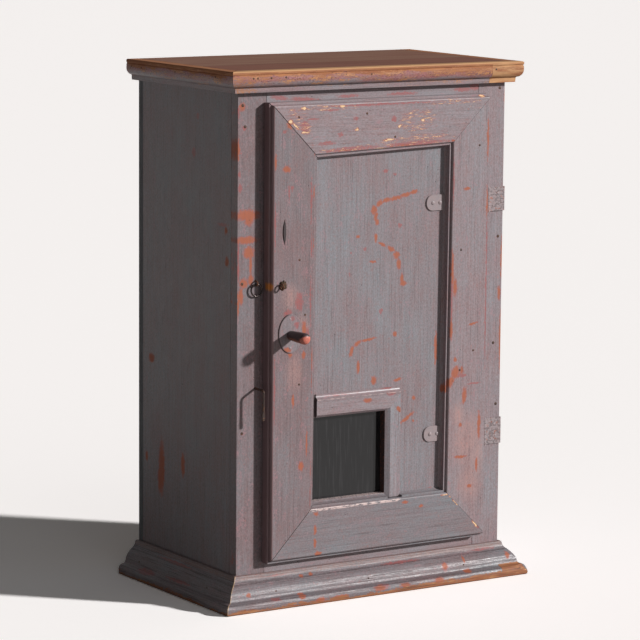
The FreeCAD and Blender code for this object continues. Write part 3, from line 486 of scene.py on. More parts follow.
def old_iron(name, shift=0.0, rust=0.5, painted_share=0.0, flaky=False, dullness=0.42):
    """Dark iron with brown rust, and what is left of the grey paint on it."""
    look = bpy.context.scene.cupboard_metal
    paint = bpy.context.scene.cupboard_paint
    f = Finish(name, "Z", shift)
    patch = f.noise(5.0, detail=4.0, roughness=0.7)
    fine = f.noise(0.9, detail=3.0, roughness=0.7)
    rusty = (patch * 0.7 + fine * 0.3).rise(0.62 - rust * 0.3, 0.78 - rust * 0.3)
    base = f.mix(look.iron, look.rust, rusty)
    base = f.mix(base, look.bloom, (patch + fine * 0.4).rise(0.84, 0.98) * rust)
    base = f.tint(base, 0.7 + fine * 0.6)
    metallic = 0.75 - rusty * 0.7
    rough = rusty * 0.4 + dullness
    height = fine * 0.18 + patch * 0.25
    if painted_share:
        gone = (patch * 0.6 + f.noise(2.2, detail=4.0, roughness=0.7) * 0.6).rise(
            0.98 - painted_share * 0.6, 0.86 - painted_share * 0.6)
        kept = 1.0 - gone
        coat = f.tint(f.mix(look.coat, paint.cool, f.noise(6.0, detail=3.0) * 0.7), 0.8 + fine * 0.36)
        if flaky:
            flake = f.cells(5.5, 3.6)
            torn = f.noise(1.6, 3.4, detail=3.0, roughness=0.75)
            crack = (flake * 0.7 + torn * 0.7).rise(0.72, 0.90)
            coat = f.mix(coat, paint.bare, f.noise(7.0, detail=2.0).rise(0.56, 0.68) * 0.6)
            coat = f.mix(coat, paint.grime_and_shade, crack * 0.4)
            height = height + crack * 0.5
        base = f.mix(base, coat, kept)
        metallic = metallic * (1.0 - kept)
        rough = rough * (1.0 - kept) + kept * (paint.gloss - 0.04)
    return f.done(base, rough, height, metallic)


def put_on(material, *nodes):
    """Gives CAD nodes their finish."""
    for name in nodes:
        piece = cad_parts[name]
        for slot in piece.material_slots:
            slot.material = material
        if not piece.material_slots:
            piece.data.materials.append(material)


def add_piece(name, shape, body, material):
    """Makes an object of a bmesh that is already in its place, and lets it ride on a body."""
    mesh = bpy.data.meshes.new(name)
    bmesh.ops.recalc_face_normals(shape, faces=shape.faces)
    shape.to_mesh(mesh)
    shape.free()
    mesh.materials.append(material)
    for polygon in mesh.polygons:
        polygon.use_smooth = True
    piece = bpy.data.objects.new(name, mesh)
    bpy.context.scene.collection.objects.link(piece)
    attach(piece, body)
    return piece


# Marks in the paint. Each is its middle (x and z on a front face, y and z on the side), its half
# length, its half width and, for a turned one, its turn in degrees.
STILE_WOOD = (
    (-272, 721, 26, 10), (-268, 714, 10, 13), (-274, 676, 22, 7), (-268, 653, 11, 11), (-283, 915, 7, 8),
    (-291, 839, 3, 20), (-279, 598, 9, 9), (-264, 604, 6, 10), (-264, 630, 3, 18), (-290, 560, 2, 24),
    (-284, 575, 5, 16),
)
STILE_RED = (
    (-287, 770, 6, 11), (-288, 795, 4, 8), (-278, 878, 6, 6), (-290, 640, 3, 60), (-290, 905, 3, 16),
    (-285, 832, 2, 2),
)
RIGHT_STILE_WOOD = (
    (253, 724, 4, 24), (287, 541, 4, 14), (291, 610, 2, 40), (291, 450, 2, 60), (252, 288, 3, 20),
)
FACE_RAIL_RED = (
    (-206, 929, 26, 6, -8), (-150, 924, 44, 5, -4), (-215, 918, 12, 5), (-60, 927, 34, 4), (60, 927, 44, 4),
    (226, 935, 20, 10), (196, 930, 24, 6),
)
PANEL_WOOD = (
    (84, 745, 9, 4, 10), (66, 741, 13, 4, 8), (44, 736, 14, 4, 10), (22, 733, 11, 4, 12),
    (7, 728, 9, 5, 35), (-4, 716, 7, 9), (0, 704, 4, 9), (3, 694, 4, 7), (0, 665, 3, 9),
    (14, 652, 9, 2.5, -30), (34, 642, 10, 4, -25), (46, 630, 7, 7), (52, 613, 5, 10), (59, 585, 3, 10),
    (62, 576, 7, 5), (-39, 669, 4, 3), (-7, 621, 8, 2.5), (-51, 458, 4, 10, -15), (-38, 471, 9, 4, 30),
    (-14, 477, 18, 2.5, 6), (-36, 425, 3.5, 12), (-1, 399, 6, 8), (52, 396, 9, 3, 10), (45, 482, 4, 5),
    (89, 358, 4, 4), (54, 340, 4, 4), (74, 322, 17, 3.5, 32), (88, 315, 3, 3), (137, 448, 3.5, 30),
    (30, 189, 5, 5),
)
PANEL_RED = (
    (20, 787, 8, 5), (41, 780, 6, 3), (53, 685, 6, 6), (-24, 646, 5, 5), (13, 528, 6, 7), (-57, 599, 2, 7),
    (-54, 640, 3, 3), (120, 182, 20, 3, 8), (60, 180, 20, 3, 8),
)
LEFT_STILE_WOOD = (
    (-204, 802, 8, 6), (-228, 815, 3, 14), (-195, 465, 4, 6), (-165, 510, 5, 14), (-166, 463, 4, 7),
    (-170, 258, 6, 9), (-200, 880, 8, 3, -45), (-131, 89, 6, 4), (-188, 380, 3, 12), (-158, 300, 2, 24),
)
LEFT_STILE_RED = (
    (-151.5, 740, 2.4, 58), (-150.5, 660, 2.4, 32), (-152, 560, 2, 60), (-193, 768, 4, 8),
    (-199, 760, 3, 20), (-209, 870, 5, 5), (-160, 498, 9, 18), (-176, 560, 12, 26), (-200, 540, 12, 12),
    (-228, 700, 2, 60), (-228, 400, 2, 90),
)
LEFT_STILE_HAZE = ((-168, 515, 18, 34), (-195, 570, 26, 34), (-185, 430, 26, 50))
TOP_RAIL_CREAM = (
    (-168, 910, 9, 3.5), (-86, 911, 9, 2.5), (-197, 887, 6, 7, -45), (-166, 867, 12, 2.5),
    (-186, 879, 12, 3, -45), (-55, 868, 6, 4, 20), (39, 870, 6, 3, 20), (15, 846, 16, 3, 3),
    (63, 893, 6, 2), (90, 879, 6, 3), (226, 918, 10, 3),
)
TOP_RAIL_FLECKS = (
    (-178, 888, 36, 18, -45), (78, 880, 48, 24, 8), (70, 846, 90, 9, 3), (5, 836, 165, 6, 1.7),
    (150, 911, 90, 6), (-120, 910, 90, 6),
)
TOP_RAIL_RED = (
    (-66, 833, 84, 6, 1.7), (74, 837, 92, 6, 1.7), (-150, 890, 18, 2.5), (-57, 888, 8, 4), (26, 884, 8, 8),
    (-166, 877, 14, 14), (-120, 845, 26, 5, 2), (-90, 860, 8, 6), (0, 912, 180, 2.5), (-110, 905, 30, 3),
    (190, 850, 24, 16, 40),
)
LOW_RAIL_WOOD = (
    (-136, 165, 5, 4), (-138, 135, 3, 9), (-138, 110, 3, 8), (97, 155, 5, 3), (61, 166, 8, 3),
    (-132, 90, 7, 4),
)
LOW_RAIL_CREAM = ((163, 167, 5, 4), (176, 154, 13, 3, -45), (222, 107, 15, 4.5, -45), (150, 171, 12, 2))
RIGHT_FRAME_WOOD = (
    (167, 563, 5, 17), (161, 600, 3, 34), (160, 484, 3, 22), (171, 402, 9, 13, -25), (160, 385, 7, 13, -30),
    (151, 372, 4, 8), (192, 357, 5, 16, -8), (184, 240, 15, 2.5), (227, 296, 3.5, 26), (222, 222, 3, 14),
    (192, 747, 8, 3), (186, 405, 4, 8), (184, 301, 4, 4), (238, 720, 2, 30), (238, 840, 2, 40),
    (176, 240, 4, 3), (207, 182, 6, 3), (170, 426, 4, 5), (210, 492, 12, 2, 12),
)
RIGHT_FRAME_RED = (
    (160, 540, 2.5, 90), (161, 760, 2, 60), (238, 560, 2, 200), (226, 905, 9, 5), (182, 395, 20, 5),
    (215, 378, 22, 2.5), (203, 912, 26, 4),
)
RIGHT_FRAME_HAZE = ((200, 268, 50, 80), (206, 190, 42, 54), (224, 236, 20, 70), (178, 320, 24, 36))
TRIM_WOOD = ((-17, 364, 9, 4), (54, 340, 4, 4), (50, 343, 4, 4))
TRIM_RED = ((26, 382, 16, 3), (35, 372, 14, 5), (-80, 379, 40, 1.5))
SIDE_WOOD = (
    (133, 218, 11, 50), (138, 194, 10, 28), (54, 235, 7, 22), (171, 420, 11, 9), (190, 229, 5, 10),
    (-98, 690, 5, 7), (-102, 634, 7, 9), (-124, 560, 3, 60), (-126, 240, 3, 80),
)
SIDE_RED = ((16, 822, 9, 12), (2, 889, 7, 9), (-87, 700, 26, 4), (-122, 800, 4, 60))
BASE_WOOD = (
    (153, 33, 6, 6), (199, 39, 3, 7), (300, 37, 5, 6), (-160, 49, 5, 3), (-138, 50, 4, 3), (129, 12, 12, 5),
    (52, 12, 12, 4), (-4, 13, 12, 5), (-93, 7, 16, 5), (-281, 30, 5, 4), (-173, 17, 7, 5), (-136, 7, 12, 5),
    (200, 20, 8, 3),
)
BASE_RED = (
    (60, 49, 60, 3), (153, 31, 10, 12), (-173, 18, 10, 8), (250, 52, 40, 3), (-210, 55, 30, 2),
    (0, 14, 26, 7), (-230, 18, 16, 3),
)
LEFT_BASE_RED = ((60, 49, 80, 3), (20, 24, 60, 4), (130, 20, 40, 6))
PLATE_WOOD = ((-203, 474, 9, 5),)
PLATE_RED = ((-190, 531, 6, 6), (-182, 519, 7, 8), (-204, 476, 10, 6))


def inner_left(f):
    """How near a place is to the inner arris of the frame's left stile."""
    (low_x, low_z), (high_x, high_z) = LOW_LEFT, HIGH_LEFT
    return f.band(f.x - (f.z - low_z) * ((high_x - low_x) / (high_z - low_z)), low_x, 3.5)


def inner_top(f):
    """How near a place is to the lower arris of the frame's top rail."""
    (left_x, left_z), (right_x, right_z) = HIGH_LEFT, HIGH_RIGHT
    return f.band(f.z - (f.x - left_x) * ((right_z - left_z) / (right_x - left_x)), left_z, 5.0)


def left_mitre(f):
    """How near a place is to the mitre at the left front corner of the cornice or the base."""
    return f.band(f.x + HALF - f.y + FRONT, 0.0, 2.4) * (f.x < 0.0)


class CarcaseOperator(bpy.types.Operator):
    """Finishes the sides, the back, the top, the shelves and the face frame"""
    bl_idname = "cupboard.carcase"
    bl_label = "Carcase"

    def execute(self, context):
        timber = context.scene.cupboard_timber
        paint = context.scene.cupboard_paint

        def inside(f):
            return (abs(f.x) < HALF - 1.0) * (f.y > FRONT + 1.0)

        def behind(f):
            return (f.y - FRONT - STILE_COAT).rise(0.0, 2.0) * (abs(f.x) < HALF - 1.0)

        def top_stain(f, base):
            vein = f.noise(5.0, 160.0, detail=4.0, roughness=0.6)
            front = f.mix(timber.top_front, paint.grime_and_shade, vein.rise(0.45, 0.25) * 0.6)
            back = f.mix(timber.top_back, timber.top_front, vein.rise(0.62, 0.34))
            stain = f.tint(f.mix(front, back, (f.y - TOP_JOINT).rise(-2.0, 3.0)), 0.78 + vein * 0.44)
            stain = f.mix(stain, paint.grime_and_shade, f.band(f.y, TOP_JOINT, 1.6) * 0.9)
            return f.mix(base, stain, (f.z - HEIGHT + 1.2).rise(0.0, 0.6)), 1.0

        # The low lift paints the left side darker, as shade on the side away from the light.
        put_on(painted("side paint left", "Z", 1.0, face="yz", bare=inside, wood=SIDE_WOOD, red=SIDE_RED,
                       warm=-0.04, lift=0.77), "side_left")
        put_on(painted("side paint right", "Z", 2.0, face="yz", bare=inside, warm=-0.1), "side_right")
        put_on(bare_timber("back board pine", "Z", 3.0, aged=True, painted_ends=True),
               "back_board_left", "back_board_middle", "back_board_right")
        put_on(bare_timber("inner pine", "X", 4.0), "bottom_board", "shelf_lower", "shelf_upper")
        put_on(bare_timber("cleat pine", "Y", 4.5), "shelf_cleats_lower", "shelf_cleats_upper")
        # The low lift paints in shade where the light falls off on the left.
        put_on(painted("left stile paint", "Z", 5.0, wood=STILE_WOOD, red=STILE_RED, bare=behind, warm=0.12,
                       lift=0.69, worn=lambda f: f.band(f.x, -HALF, 4.0) * 0.5), "face_stile_left")
        put_on(painted("right stile paint", "Z", 6.0, wood=RIGHT_STILE_WOOD, bare=behind, warm=0.04,
                       lift=0.93, worn=lambda f: f.band(f.x, HALF, 4.0) * 0.95), "face_stile_right")
        put_on(painted("face rail paint", "X", 7.0, red=FACE_RAIL_RED, bare=behind, warm=0.06, lift=0.9),
               "face_rail_top", "face_rail_bottom")
        put_on(painted("top board paint", "X", 8.0, face="xy", wear=0.1, over=top_stain, specular=0.12),
               "top_board")
        return {"FINISHED"}


class MouldingsOperator(bpy.types.Operator):
    """Finishes the cornice and the base moulding"""
    bl_idname = "cupboard.mouldings"
    bl_label = "Mouldings"

    def execute(self, context):
        paint = context.scene.cupboard_paint
        timber = context.scene.cupboard_timber

        def cornice_wear(low, end=None, corner=None, bright=0.0, tilt=0.0):
            """Wood rubbed bare above a height that can tilt, past the joint of a pieced end and left of
            a corner, with a paler rim. The palest wood along the top edge is pale wear and a painted
            highlight."""
            def over(f, base):
                tear = f.noise(11.0, 58.0, detail=4.0, roughness=0.7)
                bite = f.noise(2.4, 4.6, detail=3.0, roughness=0.75)
                stain = f.noise(7.0, 30.0, detail=3.0, roughness=0.65)
                up = f.z + f.x * tilt + (tear - 0.5) * 40.0 + (bite - 0.5) * 14.0
                rusty = f.mix(paint.undercoat, paint.haze, bite.rise(0.44, 0.62) * 0.7)
                rusty = f.mix(rusty, timber.umber, stain.rise(0.44, 0.56) * 0.8)
                base = f.mix(base, rusty, (up - low + 16.0).rise(0.0, 12.0) * 0.75)
                # Painted shade along the cornice's shadow line.
                base = f.mix(base, paint.grime_and_shade, f.band(f.z, CORNICE_LINE + 0.2, 1.0) * 0.8)
                pitted = bite.rise(0.42, 0.34) * (f.z - CORNICE_LINE).rise(0.0, 8.0)
                base = f.mix(base, paint.grime_and_shade, pitted * 0.85)
                gilt = (bite * 0.4 + stain * 0.6).rise(0.53, 0.59) * (up - low + 22.0).rise(0.0, 12.0)
                base = f.mix(base, timber.golden, gilt * 0.85)
                rim = (up - low).rise(-1.0, 2.0) * (1.0 - (bite * 0.5 + stain * 0.5).rise(0.52, 0.58) * 0.6)
                rim = rim.most((f.z - HEIGHT + 3.4 + (bite - 0.5) * 9.0).rise(0.0, 1.0))
                if end:
                    rim = rim.most((f.x - end + (bite - 0.5) * 3.0).rise(0.0, 0.8))
                    base = f.mix(base, paint.grime_and_shade, f.band(f.x, end, 0.9) * 0.8)
                rim = rim.most(left_mitre(f) * bite.rise(0.40, 0.52) * 0.8)
                if corner:
                    beyond = (corner - f.x + (tear - 0.5) * 60.0).rise(0.0, 6.0)
                    rim = rim.most(beyond * bite.rise(0.42, 0.56) * 0.8)
                # Painted highlight with pale wear: the palest wood along the top edge, by the given amount.
                edge = (f.z - HEIGHT + 3.0).rise(0.0, 2.0) * bright
                if end:
                    edge = edge.most((f.x - end).rise(0.0, 0.8) * tear.rise(0.4, 0.6) * 0.4)
                pine = f.mix(rubbed_pine(f, 0.16), timber.bright, edge)
                return f.mix(base, pine, rim), rim
            return over

        def base_wear(low, end=None, tilt=0.0):
            """Wood rubbed bare below a height that can tilt, and under a pieced end."""
            def over(f, base):
                tear = f.noise(9.0, 40.0, detail=4.0, roughness=0.7)
                bite = f.noise(2.6, 5.0, detail=3.0, roughness=0.75)
                edge = (low + f.x * tilt + (tear - 0.5) * 28.0 + (bite - 0.5) * 14.0 - f.z).rise(0.0, 2.0)
                lines = f.noise(1.6, 90.0, detail=3.0, roughness=0.6)
                low_line, high_line, foot_line = (f.band(f.z, up, width) for up, width in BASE_HOLLOWS)
                crease_shade_and_dirt = low_line.most(high_line).most(foot_line)
                base = f.tint(f.mix(base, paint.grime_and_shade, lines.rise(0.46, 0.34) * 0.4), 0.75 + lines * 0.5)
                # Painted shade and dirt in patches along the base's hollows.
                base = f.mix(base, paint.grime_and_shade, crease_shade_and_dirt * bite.rise(0.3, 0.6) * 0.7)
                foot = (9.0 + (tear - 0.5) * 36.0 - f.z).rise(0.0, 6.0)
                foot = foot.most((f.z - 52.0).rise(0.0, 3.0) * 0.7)
                base = f.mix(base, paint.scuffed, foot * bite.rise(0.3, 0.6) * 0.75)
                if end:
                    under = (BASE_END_HEIGHT + (bite - 0.5) * 6.0 - f.z).rise(0.0, 1.5)
                    edge = edge.most((f.x - end).rise(0.0, 0.6) * under)
                    worn = (30.0 - abs(f.x - BASE_WORN)).rise(0.0, 10.0) * (7.0 - f.z).rise(0.0, 2.0)
                    edge = edge.most(worn)
                    joint = f.band(f.x, end, 1.0) * (f.z < BASE_END_HEIGHT)
                    base = f.mix(base, paint.grime_and_shade, joint * 0.8)
                base = f.mix(base, timber.bright, left_mitre(f) * bite.rise(0.40, 0.52) * 0.6)
                pine = f.tint(rubbed_pine(f, 0.06), 0.84)
                pine = f.mix(pine, paint.grime_and_shade, lines.rise(0.48, 0.36) * 0.75)
                pine = f.mix(pine, paint.undercoat, bite.rise(0.50, 0.62) * 0.35)
                base = f.mix(base, pine, edge)
                dull = edge.most(foot * 0.5).most(lines.rise(0.5, 0.36) * 0.7)
                dull = dull.most(bite.rise(0.5, 0.38) * 0.6)
                # Darker along the lowest edge, at the floor.
                return f.mix(base, paint.grime_and_shade, (1.2 - f.z).rise(0.0, 0.8) * 0.6), dull
            return over

        # The lit front's top edge gets pale wear and a painted highlight; the shaded sides get none.
        put_on(painted("cornice paint front", "X", 11.0, wear=0.1, warm=0.16, lift=0.92,
                       over=cornice_wear(966.5, CORNICE_END, corner=-270.0, bright=0.45, tilt=0.014)),
               "cornice_front")
        for side, shift, wear, low in (("left", 12.0, 0.06, 969.0), ("right", 13.0, 0.1, 970.0)):
            put_on(painted("cornice paint " + side, "Y", shift, face="yz", wear=wear, warm=0.1,
                           over=cornice_wear(low)), "cornice_" + side)
        put_on(painted("base paint front", "X", 15.0, wood=BASE_WOOD, red=BASE_RED, wear=0.08, gloss=-0.14,
                       lift=0.70, relief=2.6, specular=0.3, over=base_wear(9.5, BASE_END, tilt=0.010),
                       worn=lambda f: f.band(f.z, 47.3, 3.0) * 0.35 + f.band(f.z, 61.0, 3.0) * 0.45),
               "base_moulding_front")
        put_on(painted("base paint left", "Y", 16.0, face="yz", red=LEFT_BASE_RED, wear=0.1, gloss=-0.1,
                       lift=0.8, relief=2.0, worn=lambda f: f.band(f.z, 46.0, 4.0) * 0.4,
                       over=base_wear(5.0)), "base_moulding_left")
        put_on(painted("base paint right", "Y", 17.0, face="yz", wear=0.1, gloss=-0.1, lift=0.7, relief=2.0,
                       over=base_wear(9.0)), "base_moulding_right")
        return {"FINISHED"}


class DoorOperator(bpy.types.Operator):
    """Finishes the door boards, the frame laid on them and the window's trim"""
    bl_idname = "cupboard.door"
    bl_label = "Door"

    def execute(self, context):
        paint = context.scene.cupboard_paint

        def behind(f):
            return (f.y - FRONT - BOARD_COAT).rise(0.0, 0.8)

        def reveal_and_ledge(f, base):
            chip = f.noise(3.4, 3.4, detail=3.0, roughness=0.7)
            rusty = f.mix(paint.reveal_dark_brown, paint.bare, chip.rise(0.52, 0.66) * 0.5)
            high = f.band(f.z, WINDOW_Z, WINDOW_REACH).rise(0.0, 0.04)
            wide = f.band(f.x, WINDOW_X, WINDOW_REACH).rise(0.0, 0.04)
            # The right reveal is laid in dark brown with specks of bare wood.
            base = f.mix(base, rusty, f.band(f.x, REVEAL_X, 1.0).rise(0.1, 0.5) * high * 0.92)
            # Painted highlight with pale worn paint along the ledge of the window's cut.
            ledge = f.band(f.z, LEDGE_Z, 1.4).rise(0.1, 0.5) * wide
            return f.mix(base, paint.sill, ledge * chip.rise(0.44, 0.56) * 0.85), 0.0

        def lip_dark_and_gap_shade(f, base):
            dark = f.tint(paint.dark, 0.8 + f.noise(3.0, 60.0, detail=3.0) * 0.4)
            base = f.mix(base, dark, (LIP_EDGE - f.x).rise(0.0, 1.0) * 0.9)
            # Painted shade in the narrow gap at the left of the window's trim rail.
            gap = f.band(f.x, GAP_X, 8.0).rise(0.1, 0.3) * f.band(f.z, GAP_Z, 22.0).rise(0.0, 0.06)
            return reveal_and_ledge(f, f.mix(base, paint.grime_and_shade, gap * 0.9))

        def sill_wear_and_highlight(f, base):
            chip = f.noise(3.0, 9.0, detail=3.0, roughness=0.7)
            # Painted highlight with pale worn paint along the sill's arris.
            edge = f.band(f.z, LOW_LEFT[1], 3.4).rise(0.1, 0.5) * (SILL_END - f.x).rise(0.0, 6.0)
            return f.mix(base, paint.sill, edge * chip.rise(0.42, 0.54) * 0.85), 0.0

        def rail_arris_highlight_and_end_shade(f, base):
            chip = f.noise(2.6, 8.0, detail=3.0, roughness=0.7)
            # Painted highlight with pale worn paint along the trim rail's top arris.
            base = f.mix(base, paint.sill, f.band(f.z, TRIM_ARRIS, 1.6) * chip.rise(0.46, 0.58) * 0.7)
            # Painted shade on the trim rail's left end.
            return f.mix(base, paint.grime_and_shade, (TRIM_END - f.x).rise(0.0, 0.6) * 0.92), 0.0

        def stile_over(f, base):
            dark = f.tint(paint.dark, 0.75 + f.noise(3.0, 70.0, detail=3.0) * 0.5)
            base = f.mix(base, dark, (STILE_EDGE - f.x).rise(0.0, 1.0) * 0.92)
            # Painted highlight: a pale pink line along the lit fillet of the door's outer edge.
            base = f.mix(base, paint.haze, f.band(f.x, STILE_EDGE - 1.8, 0.9) * 0.35)
            drip = f.oval(f.flat(f.x, f.z, 5.0), DRIP_X, EYE_Z, 5.5, 9.0)
            base = f.mix(base, paint.amber, drip.rise(1.1, 0.4) * 0.9)
            split = f.marks(f.flat(f.x, f.z, 1.0), (SPLIT,))
            return f.mix(base, f.tint(paint.grime_and_shade, 0.5), split.rise(0.1, 0.4) * 0.92), 0.0

        reach = 25
        for (side, (low, high)), over in zip(BOARDS.items(), (lip_dark_and_gap_shade, reveal_and_ledge, None)):
            wood, red = ([mark for mark in marks if low - reach < mark[0] < high + reach]
                         for marks in (PANEL_WOOD, PANEL_RED))
            put_on(painted("door board paint " + side, "Z", 21.0, wood=wood, red=red, bare=behind,
                           warm=-0.06, lift=0.86, over=over), "door_board_" + side)
        put_on(bare_timber("batten pine", "X", 24.0), "door_batten_lower", "door_batten_upper")
        put_on(bare_timber("bead pine", "X", 25.0), "glazing_beads")
        # The low lift paints in shade where the light falls off on the left.
        put_on(painted("door stile paint left", "Z", 26.0, wood=LEFT_STILE_WOOD, red=LEFT_STILE_RED,
                       haze=LEFT_STILE_HAZE, warm=0.14, lift=0.7, worn=inner_left, over=stile_over),
               "door_stile_left")
        put_on(painted("door stile paint right", "Z", 26.5, wood=RIGHT_FRAME_WOOD, red=RIGHT_FRAME_RED,
                       haze=RIGHT_FRAME_HAZE, warm=0.1, lift=0.95,
                       worn=lambda f: f.band(f.x, RIGHT_EDGE, 3.0) * 0.6), "door_stile_right")
        put_on(painted("door rail paint top", "X", 27.0, red=TOP_RAIL_RED, cream=TOP_RAIL_CREAM,
                       flecks=TOP_RAIL_FLECKS, warm=0.1, wear=0.08, lift=0.95, worn=inner_top),
               "door_rail_top")
        # The low lift paints in shade where the light falls off at the bottom.
        put_on(painted("door rail paint bottom", "X", 27.5, wood=LOW_RAIL_WOOD, cream=LOW_RAIL_CREAM,
                       warm=-0.12, lift=0.77, over=sill_wear_and_highlight), "door_rail_bottom")
        put_on(painted("window rail paint", "X", 28.0, wood=TRIM_WOOD, red=TRIM_RED, warm=0.04, gloss=-0.12,
                       over=rail_arris_highlight_and_end_shade), "window_rail")
        put_on(painted("window stile paint", "Z", 29.0, wood=TRIM_WOOD), "window_stile")
        # Opaque dark pane, whose colour also stands for the shaded inside; its pale streaks are dust and a
        # painted reflection.
        f = Finish("old glass")
        streaks = f.noise(2.4, 60.0, detail=2.0).rise(0.50, 0.72)
        dusty_pane_and_reflection = f.tint(context.scene.cupboard_metal.glass, 0.8 + streaks * 0.9)
        put_on(f.done(dusty_pane_and_reflection, 0.06, f.noise(60.0) * 0.02), "window_glass")
        return {"FINISHED"}


class IronworkOperator(bpy.types.Operator):
    """Finishes the hinges, the plate, the knob, the ring, the eye and the nails"""
    bl_idname = "cupboard.ironwork"
    bl_label = "Knob and ironwork"

    def execute(self, context):
        paint = context.scene.cupboard_paint
        put_on(old_iron("strap iron", 31.0, 0.4, 1.0), "hinge_strap_upper", "hinge_strap_lower",
               "strap_nails")
        put_on(old_iron("leaf iron", 31.5, 0.7, 0.9, flaky=True), "hinge_leaf_upper", "hinge_leaf_lower")
        put_on(old_iron("pin iron", 32.0, 0.4, 0.7), "hinge_pin_upper", "hinge_pin_lower", "leaf_nails",
               "plate_nails")
        put_on(old_iron("nail iron", 33.0, 0.6, 0.25), "carcase_nails", "door_nails")
        put_on(old_iron("bent nail iron", 33.5, 0.5), "bent_nail")
        put_on(old_iron("ring iron", 34.0, 0.0, dullness=0.24), "pull_ring")
        put_on(old_iron("staple iron", 34.5, 0.9), "ring_staple")
        put_on(old_iron("eye rust", 35.0, 0.8), "door_eye")

        def plate_edge_shade(f, base):
            front = f.node("CombineXYZ", {}, {"X": f.x, "Y": f.z, "Z": 0.0})
            # Painted shadow: a dark rim along the plate's left edge, away from the light.
            away = f.oval(front, KNOB_X, PLATE_Z, 25.5, 36.0)
            left = (KNOB_X + 2.0 - f.x).rise(0.0, 12.0)
            return f.mix(base, paint.grime_and_shade, away.rise(0.90, 0.97) * (left * 0.8 + 0.1)), 0.0

        put_on(painted("plate paint", "Z", 36.0, wood=PLATE_WOOD, red=PLATE_RED, warm=0.2, lift=0.8,
                       over=plate_edge_shade), "knob_plate")

        look = context.scene.cupboard_timber
        f = Finish("knob wood", "Y", 37.0)
        cloud = f.noise(5.0, 14.0, detail=4.0, roughness=0.65)
        fibre = f.noise(0.9, 30.0, detail=2.0)
        base = f.mix(look.knob, look.knob_low, (KNOB_Z - f.z + (cloud - 0.5) * 14.0).rise(0.0, 6.0) * 0.85)
        tip = KNOB_TIP - f.y + (cloud - 0.5) * 9.0 + ((KNOB_Z + 2.0 - f.z) * 1.8).least(3.0)
        base = f.mix(base, look.knob_tip, tip.rise(-2.0, 5.0))
        base = f.tint(base, 0.7 + cloud * 0.4 + fibre * 0.2)
        put_on(f.done(base, 0.34 + cloud * 0.2, fibre * 0.12 + cloud * 0.2), "knob")
        put_on(bare_timber("latch pine", "X", 38.0), "latch_bar", "latch_peg")

        crust = bmesh.new()
        bmesh.ops.create_icosphere(crust, subdivisions=5, radius=1.0)
        for vert in crust.verts:
            lump = noise.fractal(vert.co * 2.1 + Vector((3, 1, 7)), 0.7, 2.1, 5)
            vert.co *= 1.0 + lump * 0.36
            vert.co = Vector((vert.co.x * 7.0, min(vert.co.y * 4.2, 0.5), vert.co.z * 7.6))
        bmesh.ops.translate(crust, verts=crust.verts, vec=(EYE_X + 5.5, FRAME_FACE - 0.4, EYE_Z + 2.0))
        bmesh.ops.scale(crust, verts=crust.verts, vec=(MM, MM, MM))
        look = context.scene.cupboard_metal
        f = Finish("crust", "Z", 39.0)
        grit = f.noise(1.1, detail=4.0, roughness=0.75)
        patch = f.noise(4.0, detail=3.0)
        base = f.mix(look.crust, look.rust, patch.rise(0.48, 0.62) * 0.8)
        base = f.mix(base, look.bloom, grit.rise(0.60, 0.72) * 0.5)
        add_piece("eye_crust", crust, "door", f.done(f.tint(base, 0.5 + grit), 0.85, grit * 0.5))
        return {"FINISHED"}


class StageOperator(bpy.types.Operator):
    """Sets the floor and the light"""
    bl_idname = "cupboard.stage"
    bl_label = "Stage"

    def execute(self, context):
        scene = context.scene
        look = scene.cupboard_stage
        shape = bmesh.new()
        bmesh.ops.create_grid(shape, x_segments=1, y_segments=1, size=40.0)
        bmesh.ops.translate(shape, verts=shape.verts, vec=(0, 0, -0.0005))
        mesh = bpy.data.meshes.new("floor")
        shape.to_mesh(mesh)
        shape.free()
        floor = bpy.data.objects.new("floor", mesh)
        scene.collection.objects.link(floor)
        plain = Finish("plain floor", specular=0.05)
        seen = self.seen(plain)
        white = plain.tint(plain.mix(look.bounce, look.floor, seen), 1.0 + seen * look.lift)
        mesh.materials.append(plain.done(white, 0.9, 0.0))

        self.lamp("key", look.key, look.softness, look.turn, look.climb)
        self.lamp("front", look.front, look.front_width, 0.0, look.front_climb)

        world = bpy.data.worlds.new("pale room")
        world.use_nodes = True
        room = Nodes(world.node_tree)
        level = look.fill
        for ray, own in (("Is Glossy Ray", look.sheen), ("Is Transmission Ray", look.backdrop),
                         ("Is Camera Ray", look.backdrop)):
            share = room.node("LightPath", {}, {}, ray)
            level = room.node("Mix", {}, {"Factor": share, "A": level, "B": own}, "Result")
        background = room.tree.nodes["Background"]
        background.inputs["Color"].default_value = (1.0, 1.0, 1.0, 1.0)
        room.tree.links.new(level.socket, background.inputs["Strength"])
        scene.world = world
        scene.view_settings.view_transform = "Standard"
        return {"FINISHED"}

    def lamp(self, name, strength, softness, turn, climb):
        """A distant lamp: how strong and how wide it is, and where it stands."""
        light = bpy.data.lights.new(name, "SUN")
        light.energy = strength
        light.angle = softness
        stand = bpy.data.objects.new(name, light)
        direction = towards(turn, climb)
        stand.rotation_euler = direction.to_track_quat("Z", "Y").to_euler()
        stand.location = direction * 5.0
        bpy.context.scene.collection.objects.link(stand)

    def seen(self, finish):
        """1 for rays that show the stage, and 0 for the ones that only carry its light."""
        rays = [finish.node("LightPath", {}, {}, name) for name in
                ("Is Camera Ray", "Is Glossy Ray", "Is Transmission Ray")]
        return rays[0].most(rays[1]).most(rays[2])


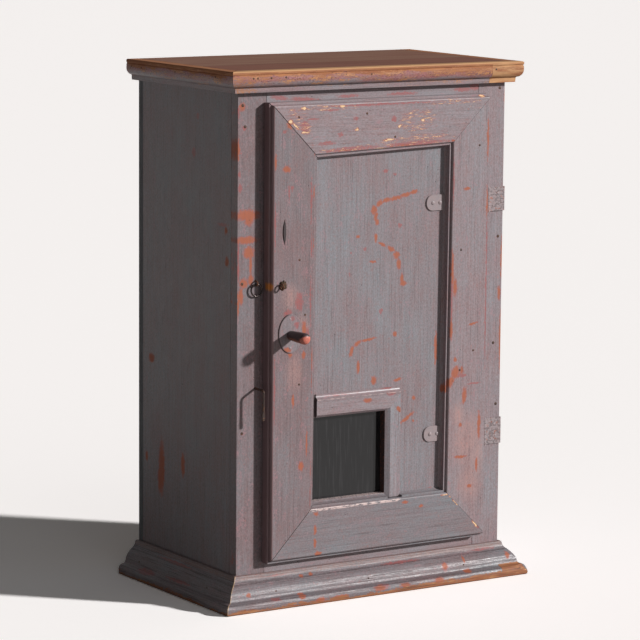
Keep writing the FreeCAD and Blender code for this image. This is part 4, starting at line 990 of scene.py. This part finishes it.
class CameraOperator(bpy.types.Operator):
    """Stands the camera where the photograph was taken from"""
    bl_idname = "cupboard.camera"
    bl_label = "Camera"

    def execute(self, context):
        scene = context.scene
        look = scene.cupboard_camera
        back = towards(look.turn, look.climb)
        right = Vector((0, 0, 1)).cross(back).normalized()
        up = back.cross(right)
        axes = Matrix((right, up, back)).transposed() @ Matrix.Rotation(look.roll, 3, "Z")
        data = bpy.data.cameras.new("photograph view")
        data.lens = look.lens
        data.sensor_width = 36.0
        data.clip_start, data.clip_end = 0.1, 100.0
        camera = bpy.data.objects.new("photograph view", data)
        camera.matrix_world = Matrix.Translation(look.place) @ axes.to_4x4()
        scene.collection.objects.link(camera)
        scene.camera = camera
        return {"FINISHED"}


class CupboardPanel(bpy.types.Panel):
    """The cupboard's pieces and settings"""
    bl_idname = "VIEW3D_PT_cupboard"
    bl_label = "Cupboard"
    bl_space_type = "VIEW_3D"
    bl_region_type = "UI"
    bl_category = "Cupboard"

    def draw(self, context):
        for operator in OPERATORS:
            self.layout.operator(operator.bl_idname)
        for group in SETTINGS:
            box = self.layout.box()
            for name in SETTINGS[group].__annotations__:
                box.prop(getattr(context.scene, group), name)


OPERATORS = (CarcaseOperator, MouldingsOperator, DoorOperator, IronworkOperator, StageOperator,
             CameraOperator)
SETTINGS = {
    "cupboard_paint": PaintSettings,
    "cupboard_timber": TimberSettings,
    "cupboard_metal": MetalSettings,
    "cupboard_stage": StageSettings,
    "cupboard_camera": CameraSettings,
}


def register():
    for name, group in SETTINGS.items():
        bpy.utils.register_class(group)
        setattr(bpy.types.Scene, name, PointerProperty(type=group))
    for operator in OPERATORS:
        bpy.utils.register_class(operator)
    bpy.utils.register_class(CupboardPanel)


def unregister():
    bpy.utils.unregister_class(CupboardPanel)
    for operator in reversed(OPERATORS):
        bpy.utils.unregister_class(operator)
    for name, group in SETTINGS.items():
        delattr(bpy.types.Scene, name)
        bpy.utils.unregister_class(group)


def main():
    register()
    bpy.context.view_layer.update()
    for operator in OPERATORS:
        group, name = operator.bl_idname.split(".")
        getattr(getattr(bpy.ops, group), name)()


if __name__ == "__main__":
    main()
